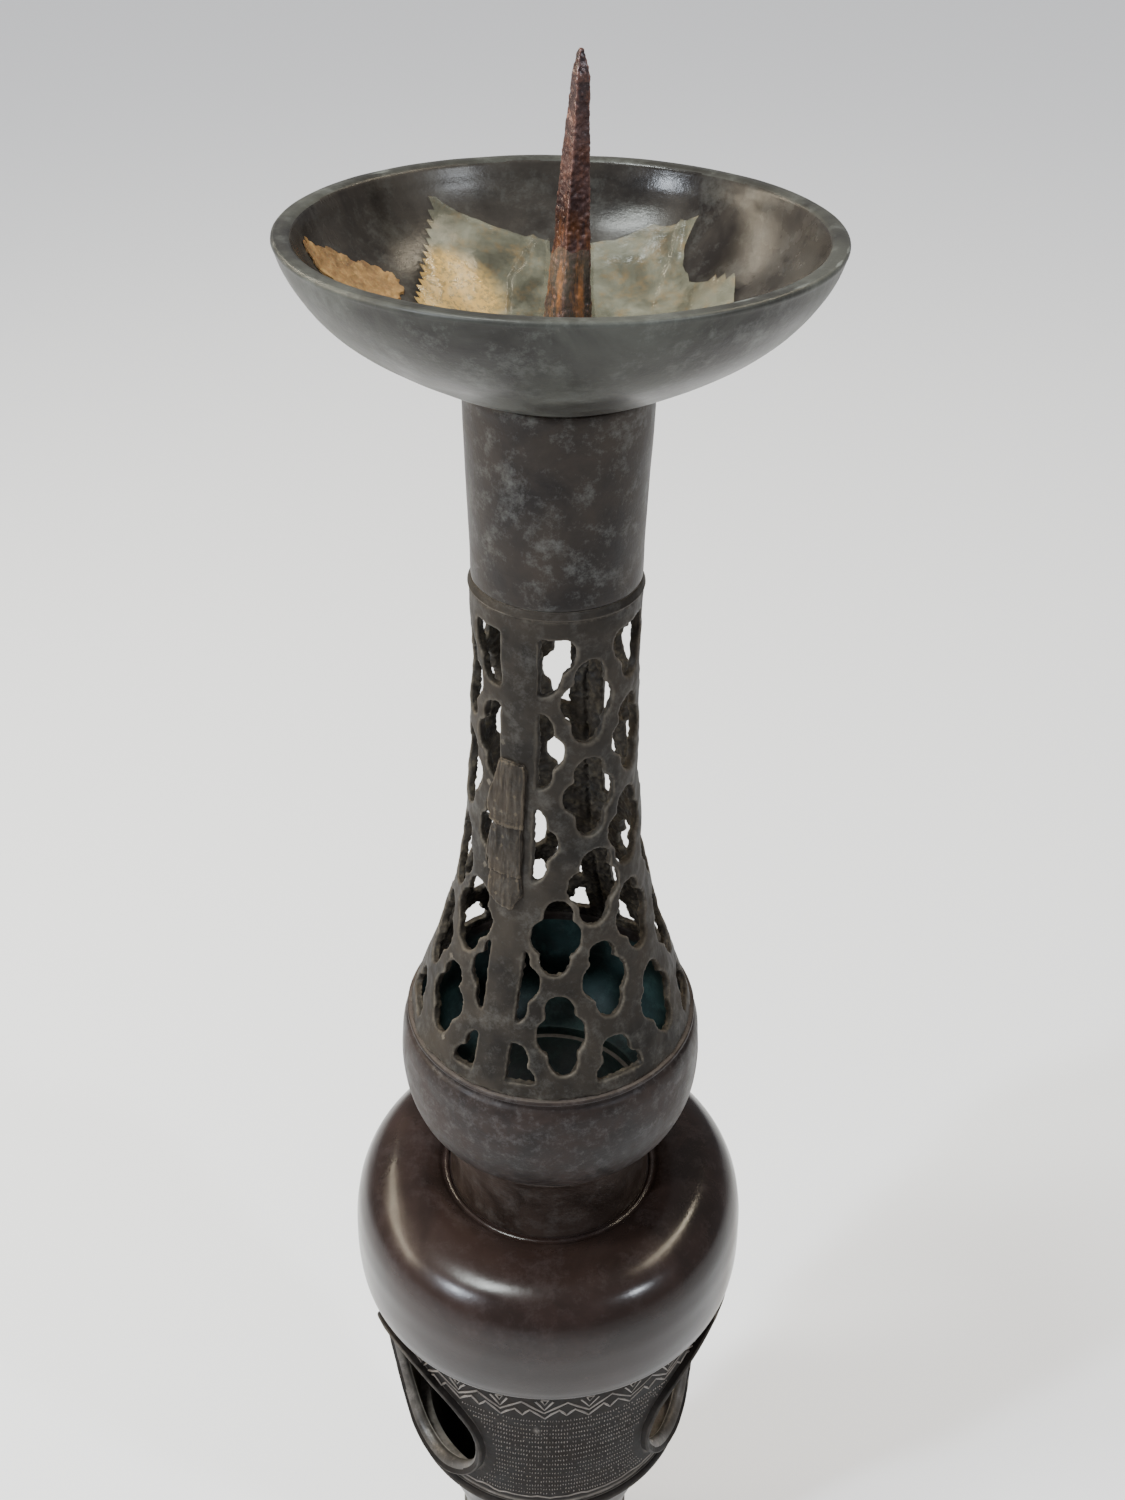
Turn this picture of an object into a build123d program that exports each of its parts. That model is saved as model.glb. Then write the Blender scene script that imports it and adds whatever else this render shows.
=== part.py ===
from build123d import *
import math
import os

# A pricket candlestick of cast and turned bronze: a drip pan with an iron spike, a plain
# neck, an openwork sleeve that swells into a bulb, and a windowed body on a spreading foot.
# Millimetres, +Z up, origin at the middle of the underside, -Y is the front.

# ---- heights of the sections, from the floor up ----
foot_height = 72.5          # underside to the waist ring
foot_ring_height = 6.0
waist_ring_height = 5.0
stem_height = 60.5
border_height = 8.0
body_height = 73.7
shoulder_seat_rise = 34.8   # body top to the seat that carries the collar
shoulder_crown = 2.7        # how far the shoulder's crest stands above that seat
collar_height = 24.5
bulb_height = 41.0
lattice_height = 130.0
neck_ring_height = 2.0
tube_height = 45.7
pan_height = 32.3

# ---- radii ----
foot_ring_radius = 49.5
foot_radius = 48.0
waist_radius = 28.2
waist_ring_radius = 29.1
stem_top_radius = 41.8
border_radius = 46.2
body_bottom_radius = 44.8
body_top_radius = 55.4
shoulder_radius = 58.2
collar_radius = 29.3
bulb_radius = 41.5
bulb_top_radius = 39.5
bulb_groove_radius = 30.6
lattice_foot_radius = 38.6
lattice_neck_radius = 20.2
neck_ring_radius = 20.5
tube_bottom_radius = 19.7
tube_top_radius = 21.0
pan_radius = 57.9
pan_lip = 3.4               # width of the flat lip

# ---- walls ----
cast_wall = 2.6             # foot, stem and body
shoulder_wall = 2.4
sleeve_wall = 2.2           # openwork and bulb
pan_floor = 2.5

# ---- plug-in fits ----
collar_spigot_radius = 28.0
collar_spigot_length = 22.0
collar_wall = 2.0
collar_clearance = 0.06
pan_spigot_radius = 17.6
pan_spigot_length = 20.0
pan_spigot_wall = 1.6
pan_clearance = 0.06

# ---- openwork ----
band_width = 9.4            # plain bands down the front and the back of the sleeve
band_azimuth = -25.0        # degrees from the front, turning towards +X
hole_width = 13.6
row_count = 10
first_row_drop = 9.0        # top of the sleeve to the middle of the first row
last_row_rise = 4.0         # foot of the sleeve to the middle of the last row
top_border = 5.0
bottom_border = 3.5
row_strut = 3.6             # metal left between a hole and the next one under it
cutter_reach = 9.0
# middles of the holes in each row, in degrees from the front band, the same on both sides
row_azimuths = (
    (19, 87, 163),
    (50, 128),
    (15, 86, 166),
    (51, 124),
    (12, 82, 168),
    (53, 118),
    (27, 81, 142),
    (6, 55, 112, 172),
    (31, 85, 143),
    (9, 56, 113, 171),
)

# ---- plank over the front seam ----
strip_width = 8.6
strip_length = 40.6
strip_thickness = 1.2
strip_top_drop = 38.7       # top of the sleeve to the plank's top
strip_turn = -5.0           # degrees off the middle of the front band

# ---- windows ----
window_count = 3
window_azimuth = -52.0
window_width = 44.0
window_height = 61.0
window_drop = 40.0          # top of the body to the windows' middle
frame_width = 3.4
frame_stand = 2.4           # how far a frame stands proud of the body

# ---- spike ----
spike_height = 33.1         # tip above the pan's rim
spike_tip_side = 2.3
spike_foot_side = 8.6
spike_foot_offset = 1.2     # towards +X, at the pan's floor
spike_tip_offset = 3.4
spike_turn = 32.0           # degrees that the square is turned about its own axis
tang_radius = 3.0
tang_clearance = 0.05
tang_head_radius = 4.6
tang_head_height = 1.6
burr_radius = 9.0
burr_height = 1.6

# ---- soft pieces in the pan ----
film_gap = 0.3
tape_thickness = 0.5
wax_thickness = 0.8
wrap_height = 26.4
wrap_foot_side = 13.0
wrap_top_side = 8.8

# ---- heights above the floor ----
waist_top = foot_height + waist_ring_height
stem_top = waist_top + stem_height
border_top = stem_top + border_height
body_top = border_top + body_height
seat_level = body_top + shoulder_seat_rise
collar_top = seat_level + collar_height
bulb_top = collar_top + bulb_height
lattice_top = bulb_top + lattice_height
ring_top = lattice_top + neck_ring_height
tube_top = ring_top + tube_height
rim_level = tube_top + pan_height
floor_level = tube_top + pan_floor


def turned(outline):
    return revolve(Plane.XZ * make_face(outline), Axis.Z)


def turned_polygon(*points):
    return turned(Polyline(*points, close=True))


# A turned wall whose outside runs through the points, with level ends.
def turned_wall(points, wall):
    outside = Spline(*points)
    inside = Spline(*[(radius - wall, height) for radius, height in points])
    ends = [Line(outside @ 0, inside @ 0), Line(outside @ 1, inside @ 1)]
    return turned(Curve() + [outside, inside] + ends)


# Points a wall's thickness inside a curve that climbs, measured square to it.
def points_inside(curve, wall, first, last, count):
    points = []
    for step in range(count):
        share = first + (last - first) * step / (count - 1)
        place = curve @ share
        along = curve % share
        points.append((place.X - along.Y * wall, place.Y + along.X * wall))
    return points


def level_box(width, depth, bottom, top):
    middle = (bottom + top) / 2
    return Pos(0, 0, middle) * Box(width, depth, top - bottom)


# Turns a shape that faces the front to an azimuth, towards +X when positive.
def at_azimuth(azimuth, shape):
    return Rot(0, 0, azimuth) * shape


# ---- drip pan ----
pan_arc_middle = (pan_radius * 0.80, tube_top + pan_height * 0.437)
pan_outside = ThreePointArc((tube_top_radius, tube_top), pan_arc_middle, (pan_radius, rim_level - 1.0))
lip_inner_radius = pan_radius - pan_lip
pan_well_radius = tube_top_radius - 2.0
well_bend = (pan_arc_middle[0] - 1.8, pan_arc_middle[1] + 2.2)
lip_inner_top = (lip_inner_radius, rim_level - 1.0)


def pan_inside(lift):
    start = (pan_well_radius, floor_level + lift)
    bend = (well_bend[0] - 0.64 * lift, well_bend[1] + 0.77 * lift)
    return ThreePointArc(start, bend, (lip_inner_top[0] - lift, lip_inner_top[1]))


def make_drip_pan():
    hole = tang_radius + tang_clearance
    outline = Curve() + [
        Line((hole, tube_top), (tube_top_radius, tube_top)),
        pan_outside,
        Line((pan_radius, rim_level - 1.0), (pan_radius - 1.0, rim_level)),
        Line((pan_radius - 1.0, rim_level), (lip_inner_radius + 0.6, rim_level)),
        Line((lip_inner_radius + 0.6, rim_level), lip_inner_top),
        pan_inside(0),
        Line((pan_well_radius, floor_level), (hole, floor_level)),
        Line((hole, floor_level), (hole, tube_top)),
    ]
    pan = turned(outline)
    return pan - Pos(spike_foot_offset, 0, tube_top) * Cylinder(hole, 4 * pan_floor)


# A film of even thickness that lies on the inside of the pan, inside a plan outline.
def film_in_pan(plan, thickness):
    low = pan_inside(film_gap)
    high = pan_inside(film_gap + thickness)
    centre_low = (0, floor_level + film_gap)
    centre_high = (0, floor_level + film_gap + thickness)
    layer = turned(Curve() + [
        low,
        Line(low @ 0, centre_low),
        Line(centre_low, centre_high),
        Line(centre_high, high @ 0),
        high,
        Line(low @ 1, high @ 1),
    ])
    column = extrude(Pos(0, 0, tube_top) * plan, pan_height)
    return layer & column


def make_pan_spigot():
    outer = pan_spigot_radius - pan_clearance
    inner = outer - pan_spigot_wall
    bottom = tube_top - pan_spigot_length
    chamfer_size = 0.8
    return turned_polygon(
        (inner, tube_top),
        (outer, tube_top),
        (outer, bottom + chamfer_size),
        (outer - chamfer_size, bottom),
        (inner, bottom),
    )


# ---- spike ----
def spike_section(height, side, offset):
    plane = Plane((offset, 0, height))
    return plane * Rot(0, 0, spike_turn) * RectangleRounded(side, side, side * 0.12)


def spike_offset_at(height):
    share = (height - floor_level) / (rim_level + spike_height - floor_level)
    return spike_foot_offset + (spike_tip_offset - spike_foot_offset) * share


def spike_side_at(height):
    share = (height - floor_level) / (rim_level + spike_height - floor_level)
    return spike_foot_side + (spike_tip_side - spike_foot_side) * share


def make_spike():
    tip = rim_level + spike_height
    nose = spike_tip_side * 0.4
    blade = loft([
        spike_section(floor_level, spike_foot_side, spike_foot_offset),
        spike_section(tip - nose, spike_side_at(tip - nose), spike_offset_at(tip - nose)),
    ])
    cap = loft([
        spike_section(tip - nose, spike_side_at(tip - nose), spike_offset_at(tip - nose)),
        spike_section(tip, spike_tip_side * 0.45, spike_tip_offset),
    ])
    tang_bottom = tube_top - burr_height
    tang = Pos(spike_foot_offset, 0, (floor_level + tang_bottom) / 2) * Cylinder(
        tang_radius, floor_level - tang_bottom)
    head = Pos(spike_foot_offset, 0, tang_bottom - tang_head_height / 2) * Cylinder(
        tang_head_radius, tang_head_height)
    return blade + cap + tang + head


def make_burr():
    ring = Cylinder(burr_radius, burr_height) - Cylinder(tang_radius + tang_clearance, burr_height)
    return Pos(spike_foot_offset, 0, tube_top - burr_height / 2) * ring


# Tape wound round the foot of the spike: a tapering sleeve with the spike's own hollow.
def make_tape_wrap():
    bottom = floor_level + film_gap + tape_thickness + film_gap
    top = bottom + wrap_height
    outer = loft([
        spike_section(bottom, wrap_foot_side, spike_offset_at(bottom)),
        spike_section(top, wrap_top_side, spike_offset_at(top)),
    ])
    ease = 2 * film_gap
    inner = loft([
        spike_section(bottom - 1, spike_side_at(bottom - 1) + ease, spike_offset_at(bottom - 1)),
        spike_section(top + 1, spike_side_at(top + 1) + ease, spike_offset_at(top + 1)),
    ])
    return outer - inner


# ---- neck ----
def make_neck_tube():
    bore = pan_spigot_radius
    return turned_polygon(
        (bore, ring_top),
        (tube_bottom_radius, ring_top),
        (tube_top_radius, tube_top),
        (bore, tube_top),
    )


def make_neck_ring():
    bore = lattice_neck_radius - sleeve_wall - 1.2
    return turned_polygon(
        (bore, lattice_top),
        (neck_ring_radius, lattice_top),
        (neck_ring_radius, lattice_top + 0.4),
        (tube_bottom_radius, ring_top),
        (bore, ring_top),
    )


# ---- openwork sleeve ----
# Share of the height below the sleeve's top, and share of the flare from neck to foot.
lattice_flare = (
    (1.00, 1.00),
    (0.90, 0.765),
    (0.78, 0.490),
    (0.66, 0.275),
    (0.55, 0.148),
    (0.43, 0.070),
    (0.30, 0.020),
    (0.10, -0.015),
    (0.00, 0.00),
)
flare = lattice_foot_radius - lattice_neck_radius
lattice_points = [
    (lattice_neck_radius + flare * widening, lattice_top - lattice_height * drop)
    for drop, widening in lattice_flare
]
row_pitch = (lattice_height - first_row_drop - last_row_rise) / (row_count - 1)
hole_height = 2 * row_pitch - row_strut


def sleeve_point(height):
    for (low_radius, low), (high_radius, high) in zip(lattice_points, lattice_points[1:]):
        if low <= height <= high:
            share = (height - low) / (high - low)
            slope = math.degrees(math.atan2(low_radius - high_radius, high - low))
            return low_radius + (high_radius - low_radius) * share, slope


# A four-lobed cutter that stands square to the sleeve at an azimuth and a height.
def hole_cutter(azimuth, height):
    radius, slope = sleeve_point(height)
    lobes = Ellipse(hole_width * 0.30, hole_height / 2) + Ellipse(hole_width / 2, hole_height * 0.27)
    prism = extrude(Plane.XZ * lobes, cutter_reach / 2, both=True)
    return at_azimuth(azimuth, Pos(0, -radius, height) * Rot(-slope, 0, 0) * prism)


def make_lattice_halves():
    sleeve = turned_wall(lattice_points, sleeve_wall)
    cutters = []
    for row, azimuths in enumerate(row_azimuths):
        height = lattice_top - first_row_drop - row * row_pitch
        for azimuth in azimuths:
            for side in (1, -1):
                cutters.append(hole_cutter(band_azimuth + side * azimuth, height))
    reach = 2 * bulb_radius
    window = level_box(reach, reach, bulb_top + bottom_border, lattice_top - top_border)
    plank = at_azimuth(band_azimuth, level_box(band_width, reach, bulb_top, lattice_top))
    keep_out = window - plank
    pierced = sleeve - [cutter & keep_out for cutter in cutters]
    right_side = at_azimuth(band_azimuth, Pos(reach / 2, 0, 0) * level_box(reach, reach, bulb_top, lattice_top))
    left_side = at_azimuth(band_azimuth, Pos(-reach / 2, 0, 0) * level_box(reach, reach, bulb_top, lattice_top))
    return pierced & left_side, pierced & right_side


# The plank lies on the outside of the sleeve, over the front seam.
def make_front_strip():
    top = lattice_top - strip_top_drop
    bottom = top - strip_length
    outer_points = [(radius + strip_thickness, height) for radius, height in lattice_points]
    skin = turned_wall(outer_points, strip_thickness)
    reach = 2 * bulb_radius
    slab = Pos(0, -reach / 2, 0) * level_box(strip_width, reach, bottom, top)
    return skin & at_azimuth(band_azimuth + strip_turn, slab)


# ---- bulb and collar ----
def make_bulb():
    outside = Spline(
        (bulb_groove_radius, collar_top),
        (bulb_radius - 7.0, collar_top + bulb_height * 0.045),
        (bulb_radius - 2.9, collar_top + bulb_height * 0.145),
        (bulb_radius - 0.6, collar_top + bulb_height * 0.315),
        (bulb_radius, collar_top + bulb_height * 0.52),
        (bulb_radius - 0.5, collar_top + bulb_height * 0.78),
        (bulb_top_radius, bulb_top),
    )
    bore = collar_radius - collar_wall
    foot_inside = (bore, collar_top + 2.4)
    inner_points = points_inside(outside, sleeve_wall, 0.20, 0.86, 6)
    top_inside = (lattice_foot_radius - sleeve_wall, bulb_top)
    inside = Spline(foot_inside, *inner_points, top_inside)
    return turned(Curve() + [
        outside,
        inside,
        Line((bulb_groove_radius, collar_top), (bore, collar_top)),
        Line((bore, collar_top), foot_inside),
        Line((bulb_top_radius, bulb_top), top_inside),
    ])


def make_collar():
    spigot = collar_spigot_radius - collar_clearance
    bore = spigot - collar_wall
    bottom = seat_level - collar_spigot_length
    chamfer_size = 1.0
    return turned_polygon(
        (bore, collar_top),
        (collar_radius, collar_top),
        (collar_radius, seat_level),
        (spigot, seat_level),
        (spigot, bottom + chamfer_size),
        (spigot - chamfer_size, bottom),
        (bore, bottom),
    )


# ---- shoulder ----
def make_shoulder():
    crest = seat_level + shoulder_crown
    drop = crest - body_top
    seat_outer = collar_radius + 1.2
    span = shoulder_radius - seat_outer
    outside = Spline(
        (shoulder_radius - 1.0, body_top),
        (shoulder_radius, body_top + drop * 0.12),
        (shoulder_radius, body_top + drop * 0.36),
        (shoulder_radius - 0.55, body_top + drop * 0.57),
        (shoulder_radius - 2.2, body_top + drop * 0.745),
        (shoulder_radius - 5.1, body_top + drop * 0.865),
        (shoulder_radius - 9.3, body_top + drop * 0.945),
        (shoulder_radius - span * 0.565, body_top + drop * 0.992),
        (shoulder_radius - span * 0.77, crest),
        (seat_outer, seat_level + 0.8),
    )
    bore = collar_spigot_radius
    foot_bore = body_top_radius - cast_wall
    inner_points = points_inside(outside, shoulder_wall, 0.10, 0.93, 9)
    socket_foot = seat_level - 3.2
    inside = Spline((foot_bore, body_top + 1.5), *inner_points)
    last_inside = inner_points[-1]
    return turned(Curve() + [
        outside,
        inside,
        Line((shoulder_radius - 1.0, body_top), (foot_bore, body_top)),
        Line((foot_bore, body_top), (foot_bore, body_top + 1.5)),
        Line((seat_outer, seat_level + 0.8), (seat_outer, seat_level)),
        Line((seat_outer, seat_level), (bore, seat_level)),
        Line((bore, seat_level), (bore, socket_foot)),
        Line((bore, socket_foot), last_inside),
    ])


# ---- windowed body ----
body_points = [
    (body_bottom_radius, border_top),
    (body_bottom_radius + 1.5, border_top + body_height * 0.13),
    (body_bottom_radius + 3.8, border_top + body_height * 0.35),
    (body_bottom_radius + 6.2, border_top + body_height * 0.60),
    (body_top_radius - 1.8, border_top + body_height * 0.82),
    (body_top_radius, body_top),
]


def oval_prism(width, height):
    reach = 2 * shoulder_radius
    return Pos(0, 0, body_top - window_drop) * extrude(Plane.XZ * Ellipse(width / 2, height / 2), reach)


def window_azimuths():
    return [window_azimuth + turn * 360 / window_count for turn in range(window_count)]


def make_window_body():
    body = turned_wall(body_points, cast_wall)
    outer = oval_prism(window_width + 2 * frame_width, window_height + 2 * frame_width)
    return body - [at_azimuth(azimuth, outer) for azimuth in window_azimuths()]


def make_window_frames():
    proud = [(radius + frame_stand, height) for radius, height in body_points]
    skin = turned_wall(proud, cast_wall + frame_stand)
    outer = oval_prism(window_width + 2 * frame_width, window_height + 2 * frame_width)
    oval_ring = outer - oval_prism(window_width, window_height)
    return [skin & at_azimuth(azimuth, oval_ring) for azimuth in window_azimuths()]


# ---- border, stem and foot ----
def make_border_ring():
    bore = stem_top_radius - cast_wall
    return turned_polygon(
        (bore, stem_top),
        (stem_top_radius, stem_top),
        (stem_top_radius + 1.6, stem_top + border_height * 0.12),
        (border_radius - 0.8, stem_top + border_height * 0.42),
        (border_radius, stem_top + border_height * 0.62),
        (border_radius - 0.2, stem_top + border_height * 0.80),
        (body_bottom_radius + 0.4, border_top),
        (bore, border_top),
    )


def make_stem():
    fall = stem_top_radius - waist_radius
    shares = ((0, 0), (0.12, 0.04), (0.26, 0.13), (0.40, 0.27), (0.53, 0.42), (0.66, 0.58), (0.80, 0.76), (1, 1))
    points = [(waist_radius + fall * widening, waist_top + stem_height * rise) for rise, widening in shares]
    return turned_wall(points, cast_wall)


def make_waist_ring():
    bore = waist_radius - cast_wall
    return turned_polygon(
        (bore, foot_height),
        (waist_radius, foot_height),
        (waist_ring_radius, foot_height + waist_ring_height * 0.25),
        (waist_ring_radius, foot_height + waist_ring_height * 0.75),
        (waist_radius, waist_top),
        (bore, waist_top),
    )


def make_foot_bell():
    spread = foot_radius - waist_radius
    rise = foot_height - foot_ring_height
    shares = ((0, 1), (0.06, 0.93), (0.18, 0.76), (0.30, 0.585), (0.42, 0.425),
              (0.54, 0.28), (0.66, 0.17), (0.78, 0.08), (0.90, 0.02), (1, 0))
    points = [(waist_radius + spread * widening, foot_ring_height + rise * share) for share, widening in shares]
    return turned_wall(points, cast_wall + 0.6)


def make_foot_ring():
    bore = foot_radius - cast_wall - 1.4
    return turned_polygon(
        (bore, 0),
        (foot_ring_radius - 0.6, 0),
        (foot_ring_radius, 0.6),
        (foot_ring_radius, foot_ring_height - 1.2),
        (foot_radius, foot_ring_height),
        (bore, foot_ring_height),
    )


# ---- tape and wax, as plan outlines seen from above ----
def tape_left_plan():
    return make_face(Polyline(
        (-5.6, -5.0), (-5.6, 8.0), (-0.5, 9.5), (-0.5, 42.0), (-28.6, 42.4), (-31.8, -5.0), close=True))


def tape_right_plan():
    return make_face(Polyline(
        (8.2, -5.0), (8.2, 8.0), (0.5, 9.5), (0.5, 42.0), (20.0, 41.5), (30.3, 38.0), (27.0, 32.8),
        (30.5, 21.8), (38.0, 16.0), (34.0, -5.0), close=True))


def wax_plan():
    return Pos(-43.0, 9.5, 0) * Rot(0, 0, 50) * Ellipse(12.5, 4.6)


os.makedirs("parts", exist_ok=True)
lattice_left, lattice_right = make_lattice_halves()
nodes = {
    "foot_ring": make_foot_ring(),
    "foot_bell": make_foot_bell(),
    "waist_ring": make_waist_ring(),
    "stem": make_stem(),
    "border_ring": make_border_ring(),
    "window_body": make_window_body(),
    "shoulder": make_shoulder(),
    "collar": make_collar(),
    "bulb": make_bulb(),
    "lattice_left": lattice_left,
    "lattice_right": lattice_right,
    "front_strip": make_front_strip(),
    "neck_ring": make_neck_ring(),
    "neck_tube": make_neck_tube(),
    "pan_spigot": make_pan_spigot(),
    "drip_pan": make_drip_pan(),
    "pricket_burr": make_burr(),
    "pricket_spike": make_spike(),
    "tape_left": film_in_pan(tape_left_plan(), tape_thickness),
    "tape_right": film_in_pan(tape_right_plan(), tape_thickness),
    "tape_wrap": make_tape_wrap(),
    "wax_residue": film_in_pan(wax_plan(), wax_thickness),
}
for number, frame in enumerate(make_window_frames(), start=1):
    nodes[f"window_frame_{number}"] = frame

for name, shape in nodes.items():
    shape.label = name
    export_step(shape, f"parts/{name}.step")
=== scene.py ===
import math
import random

import bpy
from mathutils import Matrix, Vector, noise


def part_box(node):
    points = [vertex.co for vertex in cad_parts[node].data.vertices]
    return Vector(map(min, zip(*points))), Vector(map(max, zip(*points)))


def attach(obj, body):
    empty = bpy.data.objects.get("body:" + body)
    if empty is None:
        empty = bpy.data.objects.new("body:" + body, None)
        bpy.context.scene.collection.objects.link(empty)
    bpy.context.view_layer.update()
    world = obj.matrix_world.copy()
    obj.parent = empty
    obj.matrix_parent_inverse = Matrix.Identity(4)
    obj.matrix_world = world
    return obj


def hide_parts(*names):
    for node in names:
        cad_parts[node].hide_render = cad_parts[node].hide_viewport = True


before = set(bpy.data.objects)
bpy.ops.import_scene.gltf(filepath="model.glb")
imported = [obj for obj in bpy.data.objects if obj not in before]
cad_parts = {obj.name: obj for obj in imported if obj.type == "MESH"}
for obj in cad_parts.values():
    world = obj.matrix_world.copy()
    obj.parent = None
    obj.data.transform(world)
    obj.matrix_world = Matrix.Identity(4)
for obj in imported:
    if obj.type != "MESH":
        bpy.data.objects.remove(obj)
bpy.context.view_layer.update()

mm = 0.001
random.seed(7)
print("frame loaded")


# heights of the sections, taken from the frame
def topOf(node):
    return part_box(node)[1].z


levels = {
    "footRingTop": topOf("foot_ring"),
    "footTop": topOf("foot_bell"),
    "waistTop": topOf("waist_ring"),
    "stemTop": topOf("stem"),
    "borderTop": topOf("border_ring"),
    "bodyTop": topOf("window_body"),
    "crest": topOf("shoulder"),
    "collarTop": topOf("collar"),
    "bulbTop": topOf("bulb"),
    "latticeTop": topOf("lattice_left"),
    "ringTop": topOf("neck_ring"),
    "tubeTop": topOf("neck_tube"),
    "rim": topOf("drip_pan"),
    "tip": topOf("pricket_spike"),
}
levels["seat"] = levels["crest"] - 2.75 * mm


def deselectAll():
    if bpy.context.object and bpy.context.object.mode != "OBJECT":
        bpy.ops.object.mode_set(mode="OBJECT")
    bpy.ops.object.select_all(action="DESELECT")


def makeActive(piece):
    deselectAll()
    piece.select_set(True)
    bpy.context.view_layer.objects.active = piece


def applyModifier(piece, kind, name="work", **settings):
    makeActive(piece)
    modifier = piece.modifiers.new(name, kind)
    for key, value in settings.items():
        setattr(modifier, key, value)
    bpy.ops.object.modifier_apply(modifier=modifier.name)


# draws an outline as a Bezier curve; a point marked "c" is a corner, "s" is smooth
def drawOutline(name, points, closed=True, stepsPerSpan=6):
    deselectAll()
    bpy.ops.curve.primitive_bezier_curve_add(location=(0, 0, 0))
    outline = bpy.context.object
    outline.name = name
    spline = outline.data.splines[0]
    spline.bezier_points.add(len(points) - 2)
    for handle, (radius, height, mark) in zip(spline.bezier_points, points):
        handle.co = (radius, 0, height)
        kind = "VECTOR" if mark == "c" else "AUTO"
        handle.handle_left_type = kind
        handle.handle_right_type = kind
    spline.use_cyclic_u = closed
    spline.resolution_u = stepsPerSpan
    outline.data.resolution_u = stepsPerSpan
    makeActive(outline)
    bpy.ops.object.convert(target="MESH")
    return bpy.context.object


def tidyMesh(piece, angle=35):
    makeActive(piece)
    bpy.ops.object.mode_set(mode="EDIT")
    bpy.ops.mesh.select_all(action="SELECT")
    bpy.ops.mesh.remove_doubles(threshold=0.01 * mm)
    bpy.ops.mesh.normals_make_consistent(inside=False)
    bpy.ops.object.mode_set(mode="OBJECT")
    bpy.ops.object.shade_smooth_by_angle(angle=math.radians(angle))


# turns a closed outline about the candlestick's axis, as on a lathe
def turnPiece(name, points, steps=192, stepsPerSpan=6, angle=35):
    piece = drawOutline(name, points, True, stepsPerSpan)
    bpy.ops.object.mode_set(mode="EDIT")
    bpy.ops.mesh.select_all(action="SELECT")
    bpy.ops.mesh.spin(steps=steps, angle=math.radians(360), center=(0, 0, 0), axis=(0, 0, 1))
    tidyMesh(piece, angle=angle)
    return piece


# cast and hand-finished metal is never quite true: a slow wobble in the surface
def castUneven(piece, strength, size):
    texture = bpy.data.textures.new(piece.name + "Uneven", "CLOUDS")
    texture.noise_scale = size
    texture.noise_depth = 2
    applyModifier(piece, "DISPLACE", texture=texture, strength=strength, mid_level=0.5,
                  texture_coords="LOCAL")


# the faces below a height that look towards the axis take a second finish
def paintInside(piece, material, below):
    piece.data.materials.append(material)
    for face in piece.data.polygons:
        inward = face.center.x * face.normal.x + face.center.y * face.normal.y < 0
        if inward and face.center.z < below:
            face.material_index = 1


def dress(piece, body, slot, material, *nodes):
    piece.data.materials.clear()
    piece.data.materials.append(material)
    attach(piece, body)
    if nodes:
        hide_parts(*nodes)
    return piece


def addNode(tree, kind, x, y, **settings):
    node = tree.nodes.new(kind)
    node.location = (x, y)
    for key, value in settings.items():
        if key in node.inputs:
            node.inputs[key].default_value = value
        else:
            setattr(node, key, value)
    return node


def newGroup(name, inputs, outputs):
    group = bpy.data.node_groups.new(name, "ShaderNodeTree")
    for label, kind, value in inputs:
        socket = group.interface.new_socket(name=label, in_out="INPUT", socket_type=kind)
        if value is not None:
            socket.default_value = value
    for label, kind in outputs:
        group.interface.new_socket(name=label, in_out="OUTPUT", socket_type=kind)
    return group, addNode(group, "NodeGroupInput", -900, 0), addNode(group, "NodeGroupOutput", 900, 0)


def addRamp(tree, x, y, *stops):
    ramp = addNode(tree, "ShaderNodeValToRGB", x, y)
    elements = ramp.color_ramp.elements
    while len(elements) < len(stops):
        elements.new(0.5)
    for element, (place, shade) in zip(elements, stops):
        element.position = place
        element.color = (*shade, 1) if len(shade) == 3 else shade
    return ramp


def mixColors(tree, x, y, factor, under, over):
    mix = addNode(tree, "ShaderNodeMix", x, y, data_type="RGBA")
    links = tree.links
    for socket, source in ((mix.inputs[0], factor), (mix.inputs[6], under), (mix.inputs[7], over)):
        if isinstance(source, (tuple, float, int)):
            socket.default_value = source
        else:
            links.new(source, socket)
    return mix.outputs[2]


def combine(tree, x, y, operation, first, second=None, clamp=False):
    maths = addNode(tree, "ShaderNodeMath", x, y, operation=operation, use_clamp=clamp)
    for socket, source in zip(maths.inputs, (first, second)):
        if source is None:
            continue
        if isinstance(source, (float, int)):
            socket.default_value = source
        else:
            tree.links.new(source, socket)
    return maths.outputs[0]


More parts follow.
